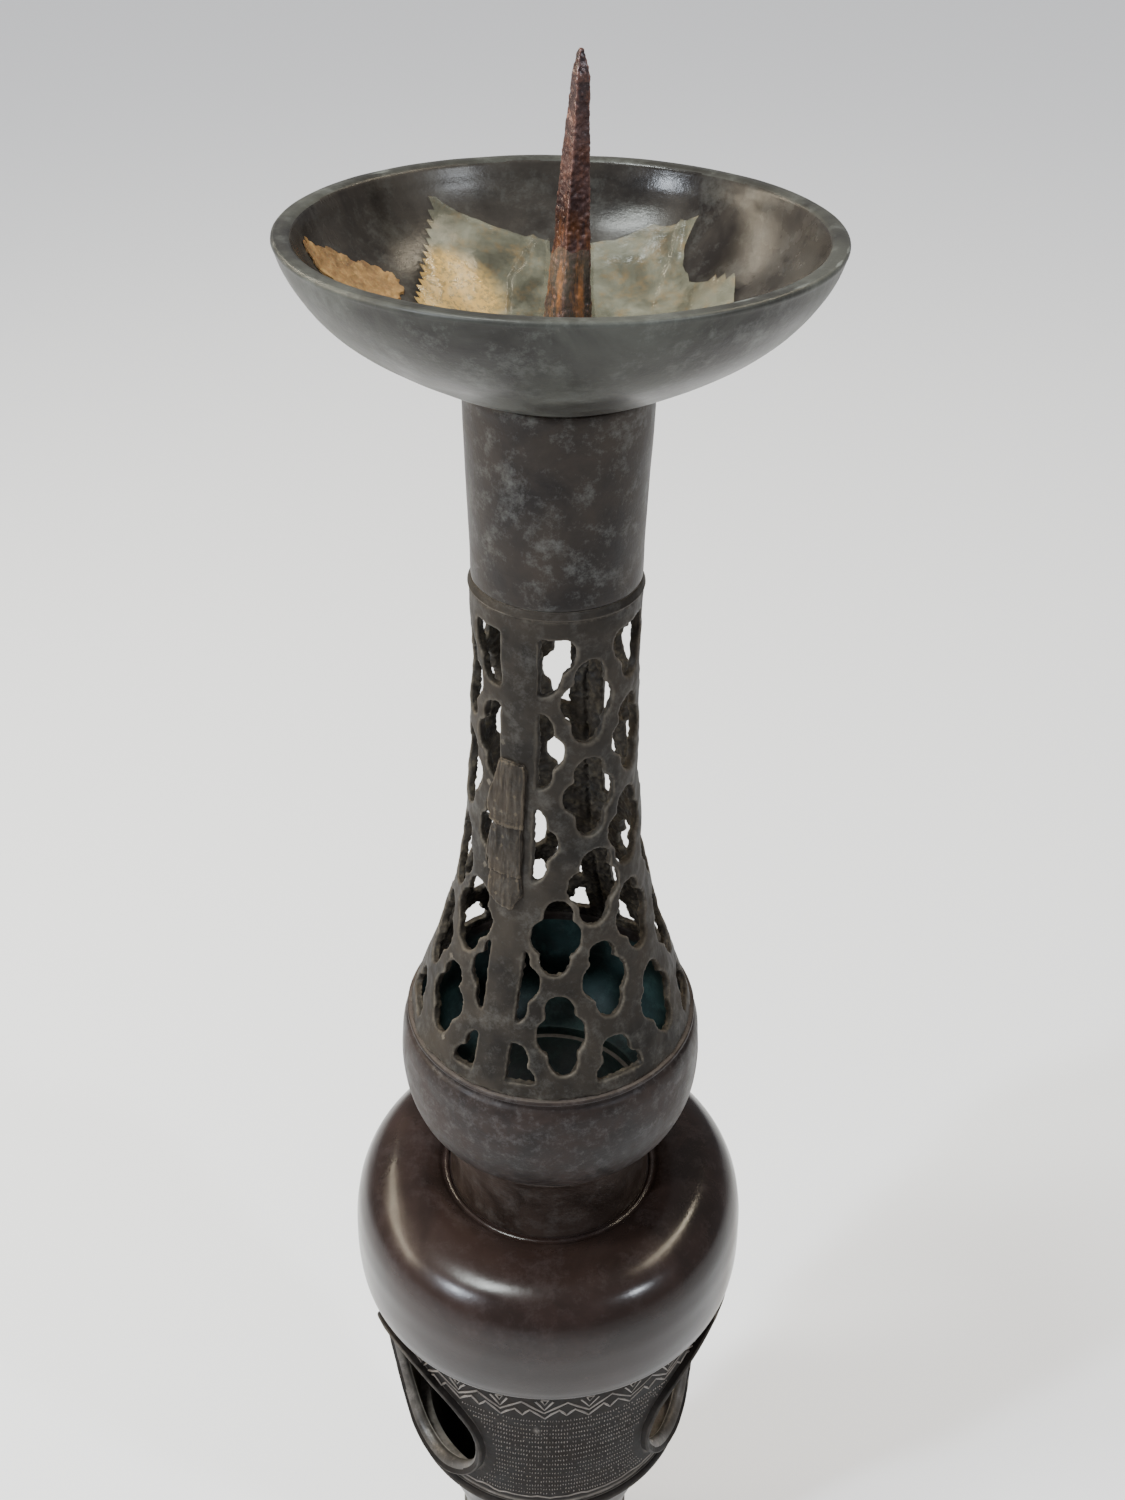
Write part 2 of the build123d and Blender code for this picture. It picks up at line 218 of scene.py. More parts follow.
# cloudy patches of two patinas, with fine grain and specks
def makeMottleGroup():
    group, inside, outside = newGroup(
        "patinaMottle",
        [("Vector", "NodeSocketVector", None), ("Patch Scale", "NodeSocketFloat", 60.0),
         ("Grain Scale", "NodeSocketFloat", 900.0), ("Dark", "NodeSocketColor", (0.01, 0.008, 0.007, 1)),
         ("Mid", "NodeSocketColor", (0.03, 0.024, 0.02, 1)),
         ("Pale", "NodeSocketColor", (0.09, 0.08, 0.075, 1)),
         ("Pale Amount", "NodeSocketFloat", 0.5)],
        [("Color", "NodeSocketColor"), ("Patches", "NodeSocketFloat"), ("Height", "NodeSocketFloat")])
    links = group.links
    patches = addNode(group, "ShaderNodeTexNoise", -600, 200, Detail=5.0, Roughness=0.62, Distortion=0.4)
    grain = addNode(group, "ShaderNodeTexNoise", -600, -100, Detail=3.0, Roughness=0.7)
    specks = addNode(group, "ShaderNodeTexNoise", -600, -400, Detail=6.0, Roughness=0.8)
    for node in (patches, grain, specks):
        links.new(inside.outputs["Vector"], node.inputs["Vector"])
    links.new(inside.outputs["Patch Scale"], patches.inputs["Scale"])
    links.new(inside.outputs["Grain Scale"], grain.inputs["Scale"])
    links.new(combine(group, -800, -400, "MULTIPLY", inside.outputs["Patch Scale"], 3.1),
              specks.inputs["Scale"])
    patchMask = addRamp(group, -350, 200, (0.36, (0, 0, 0)), (0.64, (1, 1, 1)))
    links.new(patches.outputs["Fac"], patchMask.inputs["Fac"])
    speckMask = addRamp(group, -350, -400, (0.50, (0, 0, 0)), (0.74, (1, 1, 1)))
    links.new(specks.outputs["Fac"], speckMask.inputs["Fac"])
    base = mixColors(group, 0, 200, patchMask.outputs["Color"], inside.outputs["Dark"], inside.outputs["Mid"])
    amount = combine(group, 0, -300, "MULTIPLY", speckMask.outputs["Color"], inside.outputs["Pale Amount"],
                     clamp=True)
    speckled = mixColors(group, 250, 100, amount, base, inside.outputs["Pale"])
    links.new(speckled, outside.inputs["Color"])
    links.new(patchMask.outputs["Color"], outside.inputs["Patches"])
    height = combine(group, 250, -200, "ADD", grain.outputs["Fac"], combine(
        group, 0, -500, "MULTIPLY", specks.outputs["Fac"], 0.6))
    links.new(height, outside.inputs["Height"])
    return group


# pale metal where edges and ridges are rubbed, broken up by noise
def makeWearGroup():
    group, inside, outside = newGroup(
        "wornEdge",
        [("Vector", "NodeSocketVector", None), ("Start", "NodeSocketFloat", 0.51),
         ("Full", "NodeSocketFloat", 0.56), ("Break Up", "NodeSocketFloat", 0.5)],
        [("Mask", "NodeSocketFloat")])
    links = group.links
    geometry = addNode(group, "ShaderNodeNewGeometry", -600, 100)
    spread = addNode(group, "ShaderNodeMapRange", -300, 100)
    links.new(geometry.outputs["Pointiness"], spread.inputs["Value"])
    links.new(inside.outputs["Start"], spread.inputs["From Min"])
    links.new(inside.outputs["Full"], spread.inputs["From Max"])
    crumbs = addNode(group, "ShaderNodeTexNoise", -600, -200, Scale=260.0, Detail=4.0, Roughness=0.7)
    links.new(inside.outputs["Vector"], crumbs.inputs["Vector"])
    crumbMask = addRamp(group, -300, -200, (0.35, (0, 0, 0)), (0.6, (1, 1, 1)))
    links.new(crumbs.outputs["Fac"], crumbMask.inputs["Fac"])
    kept = combine(group, 0, -200, "SUBTRACT", 1.0, combine(
        group, -150, -350, "MULTIPLY", inside.outputs["Break Up"], combine(
            group, -300, -400, "SUBTRACT", 1.0, crumbMask.outputs["Color"])))
    links.new(combine(group, 300, 0, "MULTIPLY", spread.outputs["Result"], kept, clamp=True),
              outside.inputs["Mask"])
    return group


# faint rings left by turning, and long streaks round the axis
def makeTurningGroup():
    group, inside, outside = newGroup(
        "turningMarks",
        [("Vector", "NodeSocketVector", None), ("Ring Scale", "NodeSocketFloat", 900.0)],
        [("Mask", "NodeSocketFloat")])
    links = group.links
    squeeze = addNode(group, "ShaderNodeMapping", -600, 0)
    squeeze.inputs["Scale"].default_value = (0.03, 0.03, 1.0)
    links.new(inside.outputs["Vector"], squeeze.inputs["Vector"])
    rings = addNode(group, "ShaderNodeTexNoise", -300, 0, Detail=3.0, Roughness=0.6)
    links.new(squeeze.outputs["Vector"], rings.inputs["Vector"])
    links.new(inside.outputs["Ring Scale"], rings.inputs["Scale"])
    links.new(rings.outputs["Fac"], outside.inputs["Mask"])
    return group


groups = {"mottle": makeMottleGroup(), "wear": makeWearGroup(), "turning": makeTurningGroup()}


def useGroup(tree, key, x, y, vector, **values):
    node = addNode(tree, "ShaderNodeGroup", x, y)
    node.node_tree = groups[key]
    tree.links.new(vector, node.inputs["Vector"])
    for label, value in values.items():
        spaced = "".join(" " + letter if letter.isupper() else letter for letter in label).strip()
        node.inputs[spaced].default_value = value
    return node


def newMaterial(name):
    material = bpy.data.materials.new(name)
    material.use_nodes = True
    tree = material.node_tree
    shader = tree.nodes["Principled BSDF"]
    place = addNode(tree, "ShaderNodeTexCoord", -1500, 0)
    return material, tree, shader, place.outputs["Object"]


def bumpFrom(tree, x, y, height, strength, distance):
    bump = addNode(tree, "ShaderNodeBump", x, y, Strength=strength, Distance=distance)
    tree.links.new(height, bump.inputs["Height"])
    return bump.outputs["Normal"]


# a mask spread over a range of values
def rangeOf(tree, x, y, source, **ends):
    spread = addNode(tree, "ShaderNodeMapRange", x, y)
    for label, value in ends.items():
        spread.inputs[label[0].upper() + label[1:-3] + " " + label[-3:]].default_value = value
    tree.links.new(source, spread.inputs["Value"])
    return spread.outputs["Result"]


seamTurn = -25.0  # azimuth of the joint between the openwork's two halves, from the front

# linear colours of the patinas and how they shine; what a patina leaves out is as usual
usualFinish = {"PaleAmount": 0.35, "metallic": 0.1, "specular": 0.3, "rubAmount": 0.5, "bump": 0.3,
               "rings": 0.0}
bronzes = {
    "pan": {
        "Dark": (0.015, 0.013, 0.011), "Mid": (0.052, 0.052, 0.044), "Pale": (0.14, 0.145, 0.13),
        "rub": (0.2, 0.21, 0.19),
        "PatchScale": 38.0, "PaleAmount": 0.45, "metallic": 0.2, "roughness": (0.34, 0.52), "specular": 0.2,
        "bump": 0.25, "rings": 0.15,
    },
    "panInside": {
        "Dark": (0.012, 0.01, 0.009), "Mid": (0.04, 0.034, 0.028), "Pale": (0.1, 0.1, 0.09),
        "rub": (0.2, 0.21, 0.19),
        "PatchScale": 34.0, "metallic": 0.05, "roughness": (0.2, 0.32), "specular": 0.12, "bump": 0.25,
        "rings": 0.1,
    },
    "tube": {
        "Dark": (0.009, 0.0065, 0.0055), "Mid": (0.028, 0.021, 0.016), "Pale": (0.13, 0.13, 0.12),
        "rub": (0.16, 0.15, 0.13),
        "PatchScale": 52.0, "PaleAmount": 0.55, "rubAmount": 0.6, "metallic": 0.15, "roughness": (0.38, 0.55),
        "specular": 0.2, "rings": 0.2,
    },
    "openwork": {
        "Dark": (0.009, 0.007, 0.0053), "Mid": (0.026, 0.0205, 0.0155), "Pale": (0.11, 0.105, 0.095),
        "rub": (0.13, 0.11, 0.085),
        "PatchScale": 60.0, "rubAmount": 0.55, "roughness": (0.52, 0.68), "specular": 0.15, "bump": 0.35,
        "seam": seamTurn,
    },
    "openworkInside": {
        "Dark": (0.008, 0.006, 0.0045), "Mid": (0.024, 0.018, 0.012), "Pale": (0.15, 0.12, 0.07),
        "rub": (0.1, 0.085, 0.06),
        "PatchScale": 110.0, "PaleAmount": 0.4, "rubAmount": 0.3, "roughness": (0.6, 0.8), "bump": 0.7,
    },
    "plank": {
        "Dark": (0.011, 0.0085, 0.0065), "Mid": (0.034, 0.026, 0.019), "Pale": (0.085, 0.08, 0.072),
        "rub": (0.11, 0.085, 0.055),
        "PatchScale": 80.0, "PaleAmount": 0.3, "roughness": (0.45, 0.62), "specular": 0.15, "bump": 0.5,
    },
    "bulb": {
        "Dark": (0.007, 0.0042, 0.0035), "Mid": (0.021, 0.013, 0.0105), "Pale": (0.1, 0.092, 0.09),
        "rub": (0.12, 0.1, 0.085),
        "PatchScale": 95.0, "PaleAmount": 0.45, "rubAmount": 0.3, "roughness": (0.4, 0.6), "specular": 0.18,
        "rings": 0.2,
    },
    "shoulder": {
        "Dark": (0.01, 0.0065, 0.0055), "Mid": (0.019, 0.011, 0.009), "Pale": (0.05, 0.038, 0.037),
        "rub": (0.06, 0.05, 0.045),
        "PatchScale": 36.0, "metallic": 0.02, "roughness": (0.16, 0.27), "specular": 0.24, "bump": 0.18,
        "rings": 0.05,
    },
    "collar": {
        "Dark": (0.013, 0.008, 0.006), "Mid": (0.036, 0.024, 0.019), "Pale": (0.1, 0.088, 0.08),
        "rub": (0.16, 0.14, 0.12),
        "PatchScale": 50.0, "PaleAmount": 0.4, "rubAmount": 0.6, "metallic": 0.15, "roughness": (0.36, 0.5),
        "specular": 0.2, "bump": 0.28, "rings": 0.55,
    },
    "relief": {
        "Dark": (0.0045, 0.0034, 0.003), "Mid": (0.013, 0.0097, 0.008), "Pale": (0.04, 0.035, 0.033),
        "rub": (0.17, 0.15, 0.132),
        "PatchScale": 75.0, "PaleAmount": 0.3, "rubAmount": 0.8, "metallic": 0.05, "roughness": (0.6, 0.75),
        "specular": 0.08, "bump": 0.4,
    },
    "reliefTop": {
        "Dark": (0.018, 0.0148, 0.013), "Mid": (0.046, 0.039, 0.035), "Pale": (0.12, 0.105, 0.095),
        "rub": (0.18, 0.155, 0.135),
        "PatchScale": 90.0, "PaleAmount": 0.5, "rubAmount": 0.9, "metallic": 0.3, "roughness": (0.38, 0.55),
    },
    "bulbInside": {
        "Dark": (0.003, 0.0045, 0.0045), "Mid": (0.008, 0.022, 0.021), "Pale": (0.035, 0.075, 0.068),
        "rub": (0.05, 0.06, 0.05),
        "PatchScale": 48.0, "PaleAmount": 0.5, "rubAmount": 0.2, "roughness": (0.45, 0.65), "bump": 0.5,
        "rings": 0.1,
    },
    "bodyInside": {
        "Dark": (0.02, 0.014, 0.006), "Mid": (0.055, 0.042, 0.02), "Pale": (0.12, 0.1, 0.06),
        "rub": (0.12, 0.1, 0.07),
        "PatchScale": 50.0, "PaleAmount": 0.3, "rubAmount": 0.2, "roughness": (0.5, 0.7), "bump": 0.5,
        "rings": 0.1,
    },
    "rimmed": {
        "Dark": (0.026, 0.022, 0.019), "Mid": (0.07, 0.061, 0.053), "Pale": (0.19, 0.17, 0.15),
        "rub": (0.34, 0.31, 0.27),
        "PatchScale": 70.0, "PaleAmount": 0.5, "rubAmount": 0.9, "metallic": 0.3, "roughness": (0.38, 0.55),
    },
    "foot": {
        "Dark": (0.014, 0.011, 0.009), "Mid": (0.04, 0.033, 0.028), "Pale": (0.1, 0.1, 0.09),
        "rub": (0.18, 0.17, 0.15),
        "PatchScale": 44.0, "PaleAmount": 0.4, "rubAmount": 0.7, "metallic": 0.3, "roughness": (0.34, 0.5),
        "rings": 0.15,
    },
}


# nothing is rubbed pale on the tight joint between the two cast halves
def awayFromSeam(tree, place, azimuth):
    across = addNode(tree, "ShaderNodeVectorMath", -1200, -800)
    across.operation = "DOT_PRODUCT"
    across.inputs[1].default_value = (math.cos(math.radians(azimuth)), math.sin(math.radians(azimuth)), 0)
    tree.links.new(place, across.inputs[0])
    distance = combine(tree, -1000, -800, "ABSOLUTE", across.outputs["Value"])
    return rangeOf(tree, -800, -800, distance, fromMin=0.5 * mm, fromMax=1.5 * mm)


def makeBronze(name, look):
    look = {**usualFinish, **look}
    material, tree, shader, place = newMaterial(name)
    links = tree.links
    colors = {key: (*look[key], 1) for key in ("Dark", "Mid", "Pale")}
    mottle = useGroup(tree, "mottle", -900, 200, place, PatchScale=look["PatchScale"],
                      PaleAmount=look["PaleAmount"], **colors)
    wear = useGroup(tree, "wear", -900, -100, place)
    turning = useGroup(tree, "turning", -900, -350, place)
    rubbed = combine(tree, -650, -100, "MULTIPLY", wear.outputs["Mask"], look["rubAmount"])
    if "seam" in look:
        rubbed = combine(tree, -550, -200, "MULTIPLY", rubbed, awayFromSeam(tree, place, look["seam"]))
    color = mixColors(tree, -400, 200, rubbed, mottle.outputs["Color"], (*look["rub"], 1))
    links.new(color, shader.inputs["Base Color"])
    low, high = look["roughness"]
    links.new(rangeOf(tree, -400, -100, mottle.outputs["Patches"], toMin=low, toMax=high),
              shader.inputs["Roughness"])
    shader.inputs["Metallic"].default_value = look["metallic"]
    shader.inputs["Specular IOR Level"].default_value = look["specular"]
    height = combine(tree, -650, -350, "ADD", mottle.outputs["Height"], combine(
        tree, -750, -600, "MULTIPLY", turning.outputs["Mask"], look["rings"] * 4))
    links.new(bumpFrom(tree, -300, -350, height, look["bump"], 0.15 * mm), shader.inputs["Normal"])
    return material


bronze = {key: makeBronze("bronze" + key[0].upper() + key[1:], look) for key, look in bronzes.items()}


# rust over dark forged iron, with bare coppery streaks on the edges
def makeIron():
    material, tree, shader, place = newMaterial("rustyIron")
    links = tree.links
    mottle = useGroup(tree, "mottle", -900, 300, place, PatchScale=110.0, Dark=(0.012, 0.007, 0.009, 1),
                      Mid=(0.060, 0.026, 0.022, 1), Pale=(0.17, 0.062, 0.030, 1), PaleAmount=0.6)
    stretch = addNode(tree, "ShaderNodeMapping", -1200, -100)
    stretch.inputs["Scale"].default_value = (1.0, 1.0, 0.18)
    links.new(place, stretch.inputs["Vector"])
    streaks = addNode(tree, "ShaderNodeTexNoise", -900, -100, Scale=520.0, Detail=5.0, Roughness=0.7)
    links.new(stretch.outputs["Vector"], streaks.inputs["Vector"])
    streakMask = addRamp(tree, -700, -100, (0.48, (0, 0, 0)), (0.66, (1, 1, 1)))
    links.new(streaks.outputs["Fac"], streakMask.inputs["Fac"])
    wear = useGroup(tree, "wear", -900, -350, place, Start=0.505, Full=0.56, BreakUp=0.6)
    height = addNode(tree, "ShaderNodeSeparateXYZ", -1200, -550)
    links.new(place, height.inputs[0])
    lowRust = rangeOf(tree, -900, -550, height.outputs["Z"], fromMin=levels["rim"] + 4 * mm,
                      fromMax=levels["rim"] - 10 * mm, toMax=0.95)
    orange = combine(tree, -500, -450, "MULTIPLY", lowRust, streakMask.outputs["Color"])
    rusted = mixColors(tree, -300, 200, orange, mottle.outputs["Color"], (0.36, 0.12, 0.022, 1))
    bare = combine(tree, -500, -250, "MULTIPLY", wear.outputs["Mask"], 0.6)
    links.new(mixColors(tree, -100, 200, bare, rusted, (0.24, 0.115, 0.085, 1)), shader.inputs["Base Color"])
    links.new(rangeOf(tree, -300, -100, mottle.outputs["Patches"], toMin=0.28, toMax=0.55),
              shader.inputs["Roughness"])
    shader.inputs["Metallic"].default_value = 0.35
    rough = combine(tree, -500, -700, "ADD", mottle.outputs["Height"], streaks.outputs["Fac"])
    links.new(bumpFrom(tree, -300, -500, rough, 0.5, 0.2 * mm), shader.inputs["Normal"])
    return material


# yellowed clear tape: glossy film, milky where it has lifted, dusty and stained in patches
def makeTapeFinish(name, clear, cloudy, goldAmount):
    material, tree, shader, place = newMaterial(name)
    links = tree.links
    mottle = useGroup(tree, "mottle", -900, 200, place, PatchScale=75.0, Dark=(0.10, 0.098, 0.062, 1),
                      Mid=(0.24, 0.23, 0.165, 1), Pale=(0.34, 0.20, 0.065, 1), PaleAmount=0.75)
    spot = addNode(tree, "ShaderNodeMapping", -1200, -700)
    spot.inputs["Location"].default_value = (1.72, -1.58, -35.6)
    spot.inputs["Scale"].default_value = (70, 70, 70)
    links.new(place, spot.inputs["Vector"])
    fade = addNode(tree, "ShaderNodeTexGradient", -1000, -700)
    fade.gradient_type = "SPHERICAL"
    links.new(spot.outputs["Vector"], fade.inputs["Vector"])
    crinkle = addNode(tree, "ShaderNodeTexNoise", -1000, -900, Scale=900.0, Detail=3.0, Roughness=0.6)
    links.new(place, crinkle.inputs["Vector"])
    broken = addRamp(tree, -800, -900, (0.36, (0.5, 0.5, 0.5)), (0.58, (1, 1, 1)))
    links.new(crinkle.outputs["Fac"], broken.inputs["Fac"])
    near = combine(tree, -800, -700, "MULTIPLY", fade.outputs["Fac"], 3.0, clamp=True)
    gold = combine(tree, -600, -700, "MULTIPLY", near, combine(
        tree, -600, -900, "MULTIPLY", broken.outputs["Color"], goldAmount))
    links.new(mixColors(tree, -400, 200, gold, mottle.outputs["Color"], (0.52, 0.32, 0.095, 1)),
              shader.inputs["Base Color"])
    milky = rangeOf(tree, -500, -100, mottle.outputs["Patches"], toMin=clear, toMax=cloudy)
    links.new(combine(tree, -300, -100, "ADD", milky, combine(
        tree, -400, -200, "MULTIPLY", gold, 0.5), clamp=True), shader.inputs["Alpha"])
    links.new(rangeOf(tree, -500, -350, mottle.outputs["Patches"], toMin=0.12, toMax=0.30),
              shader.inputs["Roughness"])
    shader.inputs["Specular IOR Level"].default_value = 0.3
    height = combine(tree, -600, -500, "ADD", mottle.outputs["Height"], crinkle.outputs["Fac"])
    links.new(bumpFrom(tree, -400, -600, height, 0.35, 0.15 * mm), shader.inputs["Normal"])
    return material


def makeWaxFinish():
    material, tree, shader, place = newMaterial("oldWax")
    links = tree.links
    mottle = useGroup(tree, "mottle", -900, 200, place, PatchScale=160.0, GrainScale=1500.0,
                      Dark=(0.085, 0.042, 0.013, 1), Mid=(0.23, 0.125, 0.038, 1), Pale=(0.40, 0.24, 0.085, 1),
                      PaleAmount=0.7)
    links.new(mottle.outputs["Color"], shader.inputs["Base Color"])
    shader.inputs["Roughness"].default_value = 0.72
    shader.inputs["Subsurface Weight"].default_value = 0.08
    shader.inputs["Subsurface Scale"].default_value = 0.6 * mm
    links.new(bumpFrom(tree, -500, -300, mottle.outputs["Height"], 0.6, 0.25 * mm), shader.inputs["Normal"])
    return material


ironFinish = makeIron()
tapeFinish = makeTapeFinish("oldTape", 0.14, 0.36, 0.9)
wrapFinish = makeTapeFinish("oldTapeWrap", 0.03, 0.11, 0.0)
waxFinish = makeWaxFinish()
print("materials ready")


# outlines are in millimetres: radius, height above the section's foot, corner or smooth
def lift(outline, foot):
    return [(radius * mm, foot + height * mm, mark) for radius, height, mark in outline]


footShape = {
    "ring": [(44.0, 0.0, "c"), (47.9, 0.0, "c"), (49.0, 0.5, "s"), (49.4, 1.6, "s"), (49.4, 4.2, "s"),
             (48.9, 5.5, "s"),
             (47.9, 6.0, "c"), (44.0, 6.0, "c")],
    "bellTop": [(0, 19.8), (0.06, 18.3), (0.18, 14.9), (0.30, 11.5), (0.42, 8.4), (0.54, 5.5), (0.66, 3.3),
                (0.78, 1.6),
                (0.90, 0.4), (1, 0)],
    "waistRing": [(25.6, 0.0, "c"), (28.0, 0.0, "c"), (28.9, 0.9, "s"), (29.1, 2.5, "s"), (28.9, 4.1, "s"),
                  (28.0, 5.0, "c"), (25.6, 5.0, "c")],
    "stem": [(1, 41.6), (0.80, 38.5), (0.66, 36.0), (0.53, 34.0), (0.40, 31.8), (0.26, 30.0), (0.12, 28.75),
             (0, 28.2)],
    "border": [(39.2, 0.0, "c"), (41.7, 0.0, "c"), (42.9, 0.7, "s"), (43.4, 1.5, "c"), (44.9, 2.4, "s"),
               (46.1, 4.6, "s"),
               (45.6, 6.3, "s"), (45.0, 6.9, "c"), (45.2, 7.6, "s"), (44.9, 8.0, "c"), (39.2, 8.0, "c")],
}


def wallOutline(shares, foot, rise, wall, unit=mm):
    outer = [(radius * unit, foot + rise * share, "s") for share, radius in sorted(shares)]
    inner = [(radius - wall, height, "s") for radius, height, mark in reversed(outer)]
    outline = outer + inner
    ends = (0, len(outer) - 1, len(outer), len(outline) - 1)
    return [(radius, height, "c" if place in ends else mark)
            for place, (radius, height, mark) in enumerate(outline)]


def makeFootAndStem():
    ring = turnPiece("footRing", lift(footShape["ring"], 0), stepsPerSpan=4)
    bellFoot = levels["footRingTop"]
    bellShares = [(share, 28.1 + spread) for share, spread in footShape["bellTop"]]
    bell = turnPiece("footBell", wallOutline(bellShares, bellFoot, levels["footTop"] - bellFoot, 3.1 * mm),
                     stepsPerSpan=4)
    waist = turnPiece("waistRing", lift(footShape["waistRing"], levels["footTop"]), stepsPerSpan=4)
    stemFoot = levels["waistTop"]
    stem = turnPiece("stem", wallOutline(footShape["stem"], stemFoot, levels["stemTop"] - stemFoot, 2.6 * mm),
                     stepsPerSpan=5)
    border = turnPiece("borderRing", lift(footShape["border"], levels["stemTop"]), stepsPerSpan=4)
    castUneven(bell, 0.25 * mm, 18 * mm)
    castUneven(stem, 0.25 * mm, 16 * mm)
    for piece, node in ((ring, "foot_ring"), (bell, "foot_bell"), (waist, "waist_ring"), (stem, "stem")):
        dress(piece, "base", "bronze_cast", bronze["foot"], node)
    dress(border, "base", "bronze_relief", bronze["relief"], "border_ring")


shoulderShape = {
    "outside": [(57.0, 0.0, "c"), (57.6, 0.5, "s"), (57.9, 2.0, "s"), (58.2, 5.5, "s"), (58.2, 13.5, "s"),
                (57.65, 21.4, "s"),
                (56.0, 28.0, "s"), (53.1, 32.4, "s"), (48.9, 35.4, "s"), (42.8, 37.1, "s"), (37.0, 37.4, "s"),
                (33.2, 36.4, "s"), (31.3, 35.3, "s"), (30.7, 35.5, "s"), (30.1, 35.3, "s"),
                (29.8, 34.75, "c")],
    "inside": [(28.1, 34.75, "c"), (28.1, 31.6, "c"), (33.0, 33.6, "s"), (42.5, 34.6, "s"), (48.0, 33.0, "s"),
               (51.6, 30.2, "s"), (54.0, 26.4, "s"), (55.4, 20.5, "s"), (55.8, 13.0, "s"), (55.6, 4.5, "s"),
               (53.0, 0.0, "c")],
}


def makeShoulder():
    outline = lift(shoulderShape["outside"] + shoulderShape["inside"], levels["bodyTop"])
    shoulder = turnPiece("shoulder", outline, steps=256, stepsPerSpan=6, angle=50)
    castUneven(shoulder, 0.30 * mm, 26 * mm)
    dress(shoulder, "base", "bronze_polished", bronze["shoulder"], "shoulder")


columnShape = {
    "collar": [(25.95, -22.0, "c"), (26.9, -22.0, "c"), (27.9, -21.0, "c"), (27.9, 0.0, "c"),
               (29.2, 0.0, "c"),
               (29.3, 0.4, "s"), (29.0, 4.0, "s"), (28.8, 9.0, "s"), (28.85, 14.0, "s"), (29.3, 19.0, "s"),
               (30.0, 22.2, "s"),
               (30.5, 23.2, "s"), (30.2, 24.0, "s"), (29.5, 24.5, "c"), (25.95, 24.5, "c")],
    "bulbOutside": [(29.9, 0.0, "c"), (30.9, 0.7, "s"), (33.6, 3.0, "s"), (37.2, 7.2, "s"), (40.0, 13.2, "s"),
                    (41.4, 21.0, "s"), (41.2, 30.0, "s"), (40.0, 37.2, "s"), (38.9, 38.6, "s"),
                    (38.8, 39.3, "s"),
                    (39.5, 39.9, "s"), (39.5, 40.6, "s"), (39.2, 40.9, "c")],
    "bulbInside": [(36.6, 40.9, "c"), (38.2, 33.0, "s"), (39.0, 21.0, "s"), (37.6, 14.0, "s"),
                   (34.8, 8.4, "s"),
                   (31.0, 4.6, "s"), (27.4, 3.0, "c"), (27.4, 0.0, "c")],
    "neckRing": [(16.9, 0.0, "c"), (20.35, 0.0, "c"), (20.5, 0.3, "s"), (20.35, 0.65, "s"),
                 (19.85, 1.75, "s"),
                 (19.6, 2.0, "c"), (16.9, 2.0, "c")],
    "neckTube": [(17.6, 0.0, "c"), (19.5, 0.0, "c"), (19.72, 0.35, "s"), (19.85, 8.0, "s"), (20.2, 20.0, "s"),
                 (20.6, 32.0, "s"), (20.9, 42.0, "s"), (20.95, 45.3, "s"), (20.7, 45.7, "c"),
                 (17.6, 45.7, "c")],
}


def makeColumn():
    collar = turnPiece("collar", lift(columnShape["collar"], levels["seat"]), stepsPerSpan=5)
    bulbOutline = lift(columnShape["bulbOutside"] + columnShape["bulbInside"], levels["collarTop"])
    bulb = turnPiece("bulb", bulbOutline, steps=224, stepsPerSpan=6, angle=45)
    ring = turnPiece("neckRing", lift(columnShape["neckRing"], levels["latticeTop"]), stepsPerSpan=4)
    tube = turnPiece("neckTube", lift(columnShape["neckTube"], levels["ringTop"]), stepsPerSpan=8)
    castUneven(bulb, 0.35 * mm, 20 * mm)
    castUneven(tube, 0.30 * mm, 16 * mm)
    dress(collar, "column", "bronze_collar", bronze["collar"], "collar")
    paintInside(collar, bronze["bulbInside"], levels["collarTop"])
    dress(bulb, "column", "bronze_bulb", bronze["bulb"], "bulb")
    paintInside(bulb, bronze["bulbInside"], levels["collarTop"] + 36.5 * mm)
    dress(ring, "column", "bronze_openwork", bronze["openwork"], "neck_ring")
    dress(tube, "column", "bronze_tube", bronze["tube"], "neck_tube")


panShape = {
    "outside": [(3.1, 0.0, "c"), (20.8, 0.0, "c"), (21.6, 0.35, "s"), (26.8, 2.6, "s"), (33.0, 5.8, "s"),
                (39.9, 9.9, "s"),
                (46.1, 14.2, "s"), (50.8, 18.6, "s"), (54.0, 22.8, "s"), (56.4, 27.0, "s"),
                (57.65, 30.6, "s"),
                (57.9, 31.5, "s"), (57.5, 32.15, "s")],
    "inside": [(56.6, 32.3, "s"), (55.2, 32.25, "s"), (54.3, 31.8, "s"), (53.6, 30.6, "s"), (51.9, 26.6, "s"),
               (48.7, 21.8, "s"), (44.0, 17.0, "s"), (37.6, 12.2, "s"), (30.8, 8.2, "s"), (24.0, 4.7, "s"),
               (18.5, 2.9, "s"), (10.0, 2.5, "s"), (3.1, 2.5, "c")],
}


def makePan():
    pan = turnPiece("dripPan", lift(panShape["outside"] + panShape["inside"], levels["tubeTop"]),
                    steps=256, stepsPerSpan=6, angle=50)
    castUneven(pan, 0.35 * mm, 24 * mm)
    dress(pan, "pan_unit", "bronze_pan", bronze["pan"], "drip_pan")
    pan.data.materials.append(bronze["panInside"])
    rim = levels["rim"]
    for face in pan.data.polygons:
        middle = face.center
        radius = math.hypot(middle.x, middle.y)
        inward = middle.x * face.normal.x + middle.y * face.normal.y < 0 or face.normal.z > 0.6
        if inward and radius < 54.2 * mm and middle.z > levels["tubeTop"] + 1.5 * mm and middle.z < rim:
            face.material_index = 1


makeFootAndStem()
makeShoulder()
makeColumn()
makePan()
print("turned sections ready")


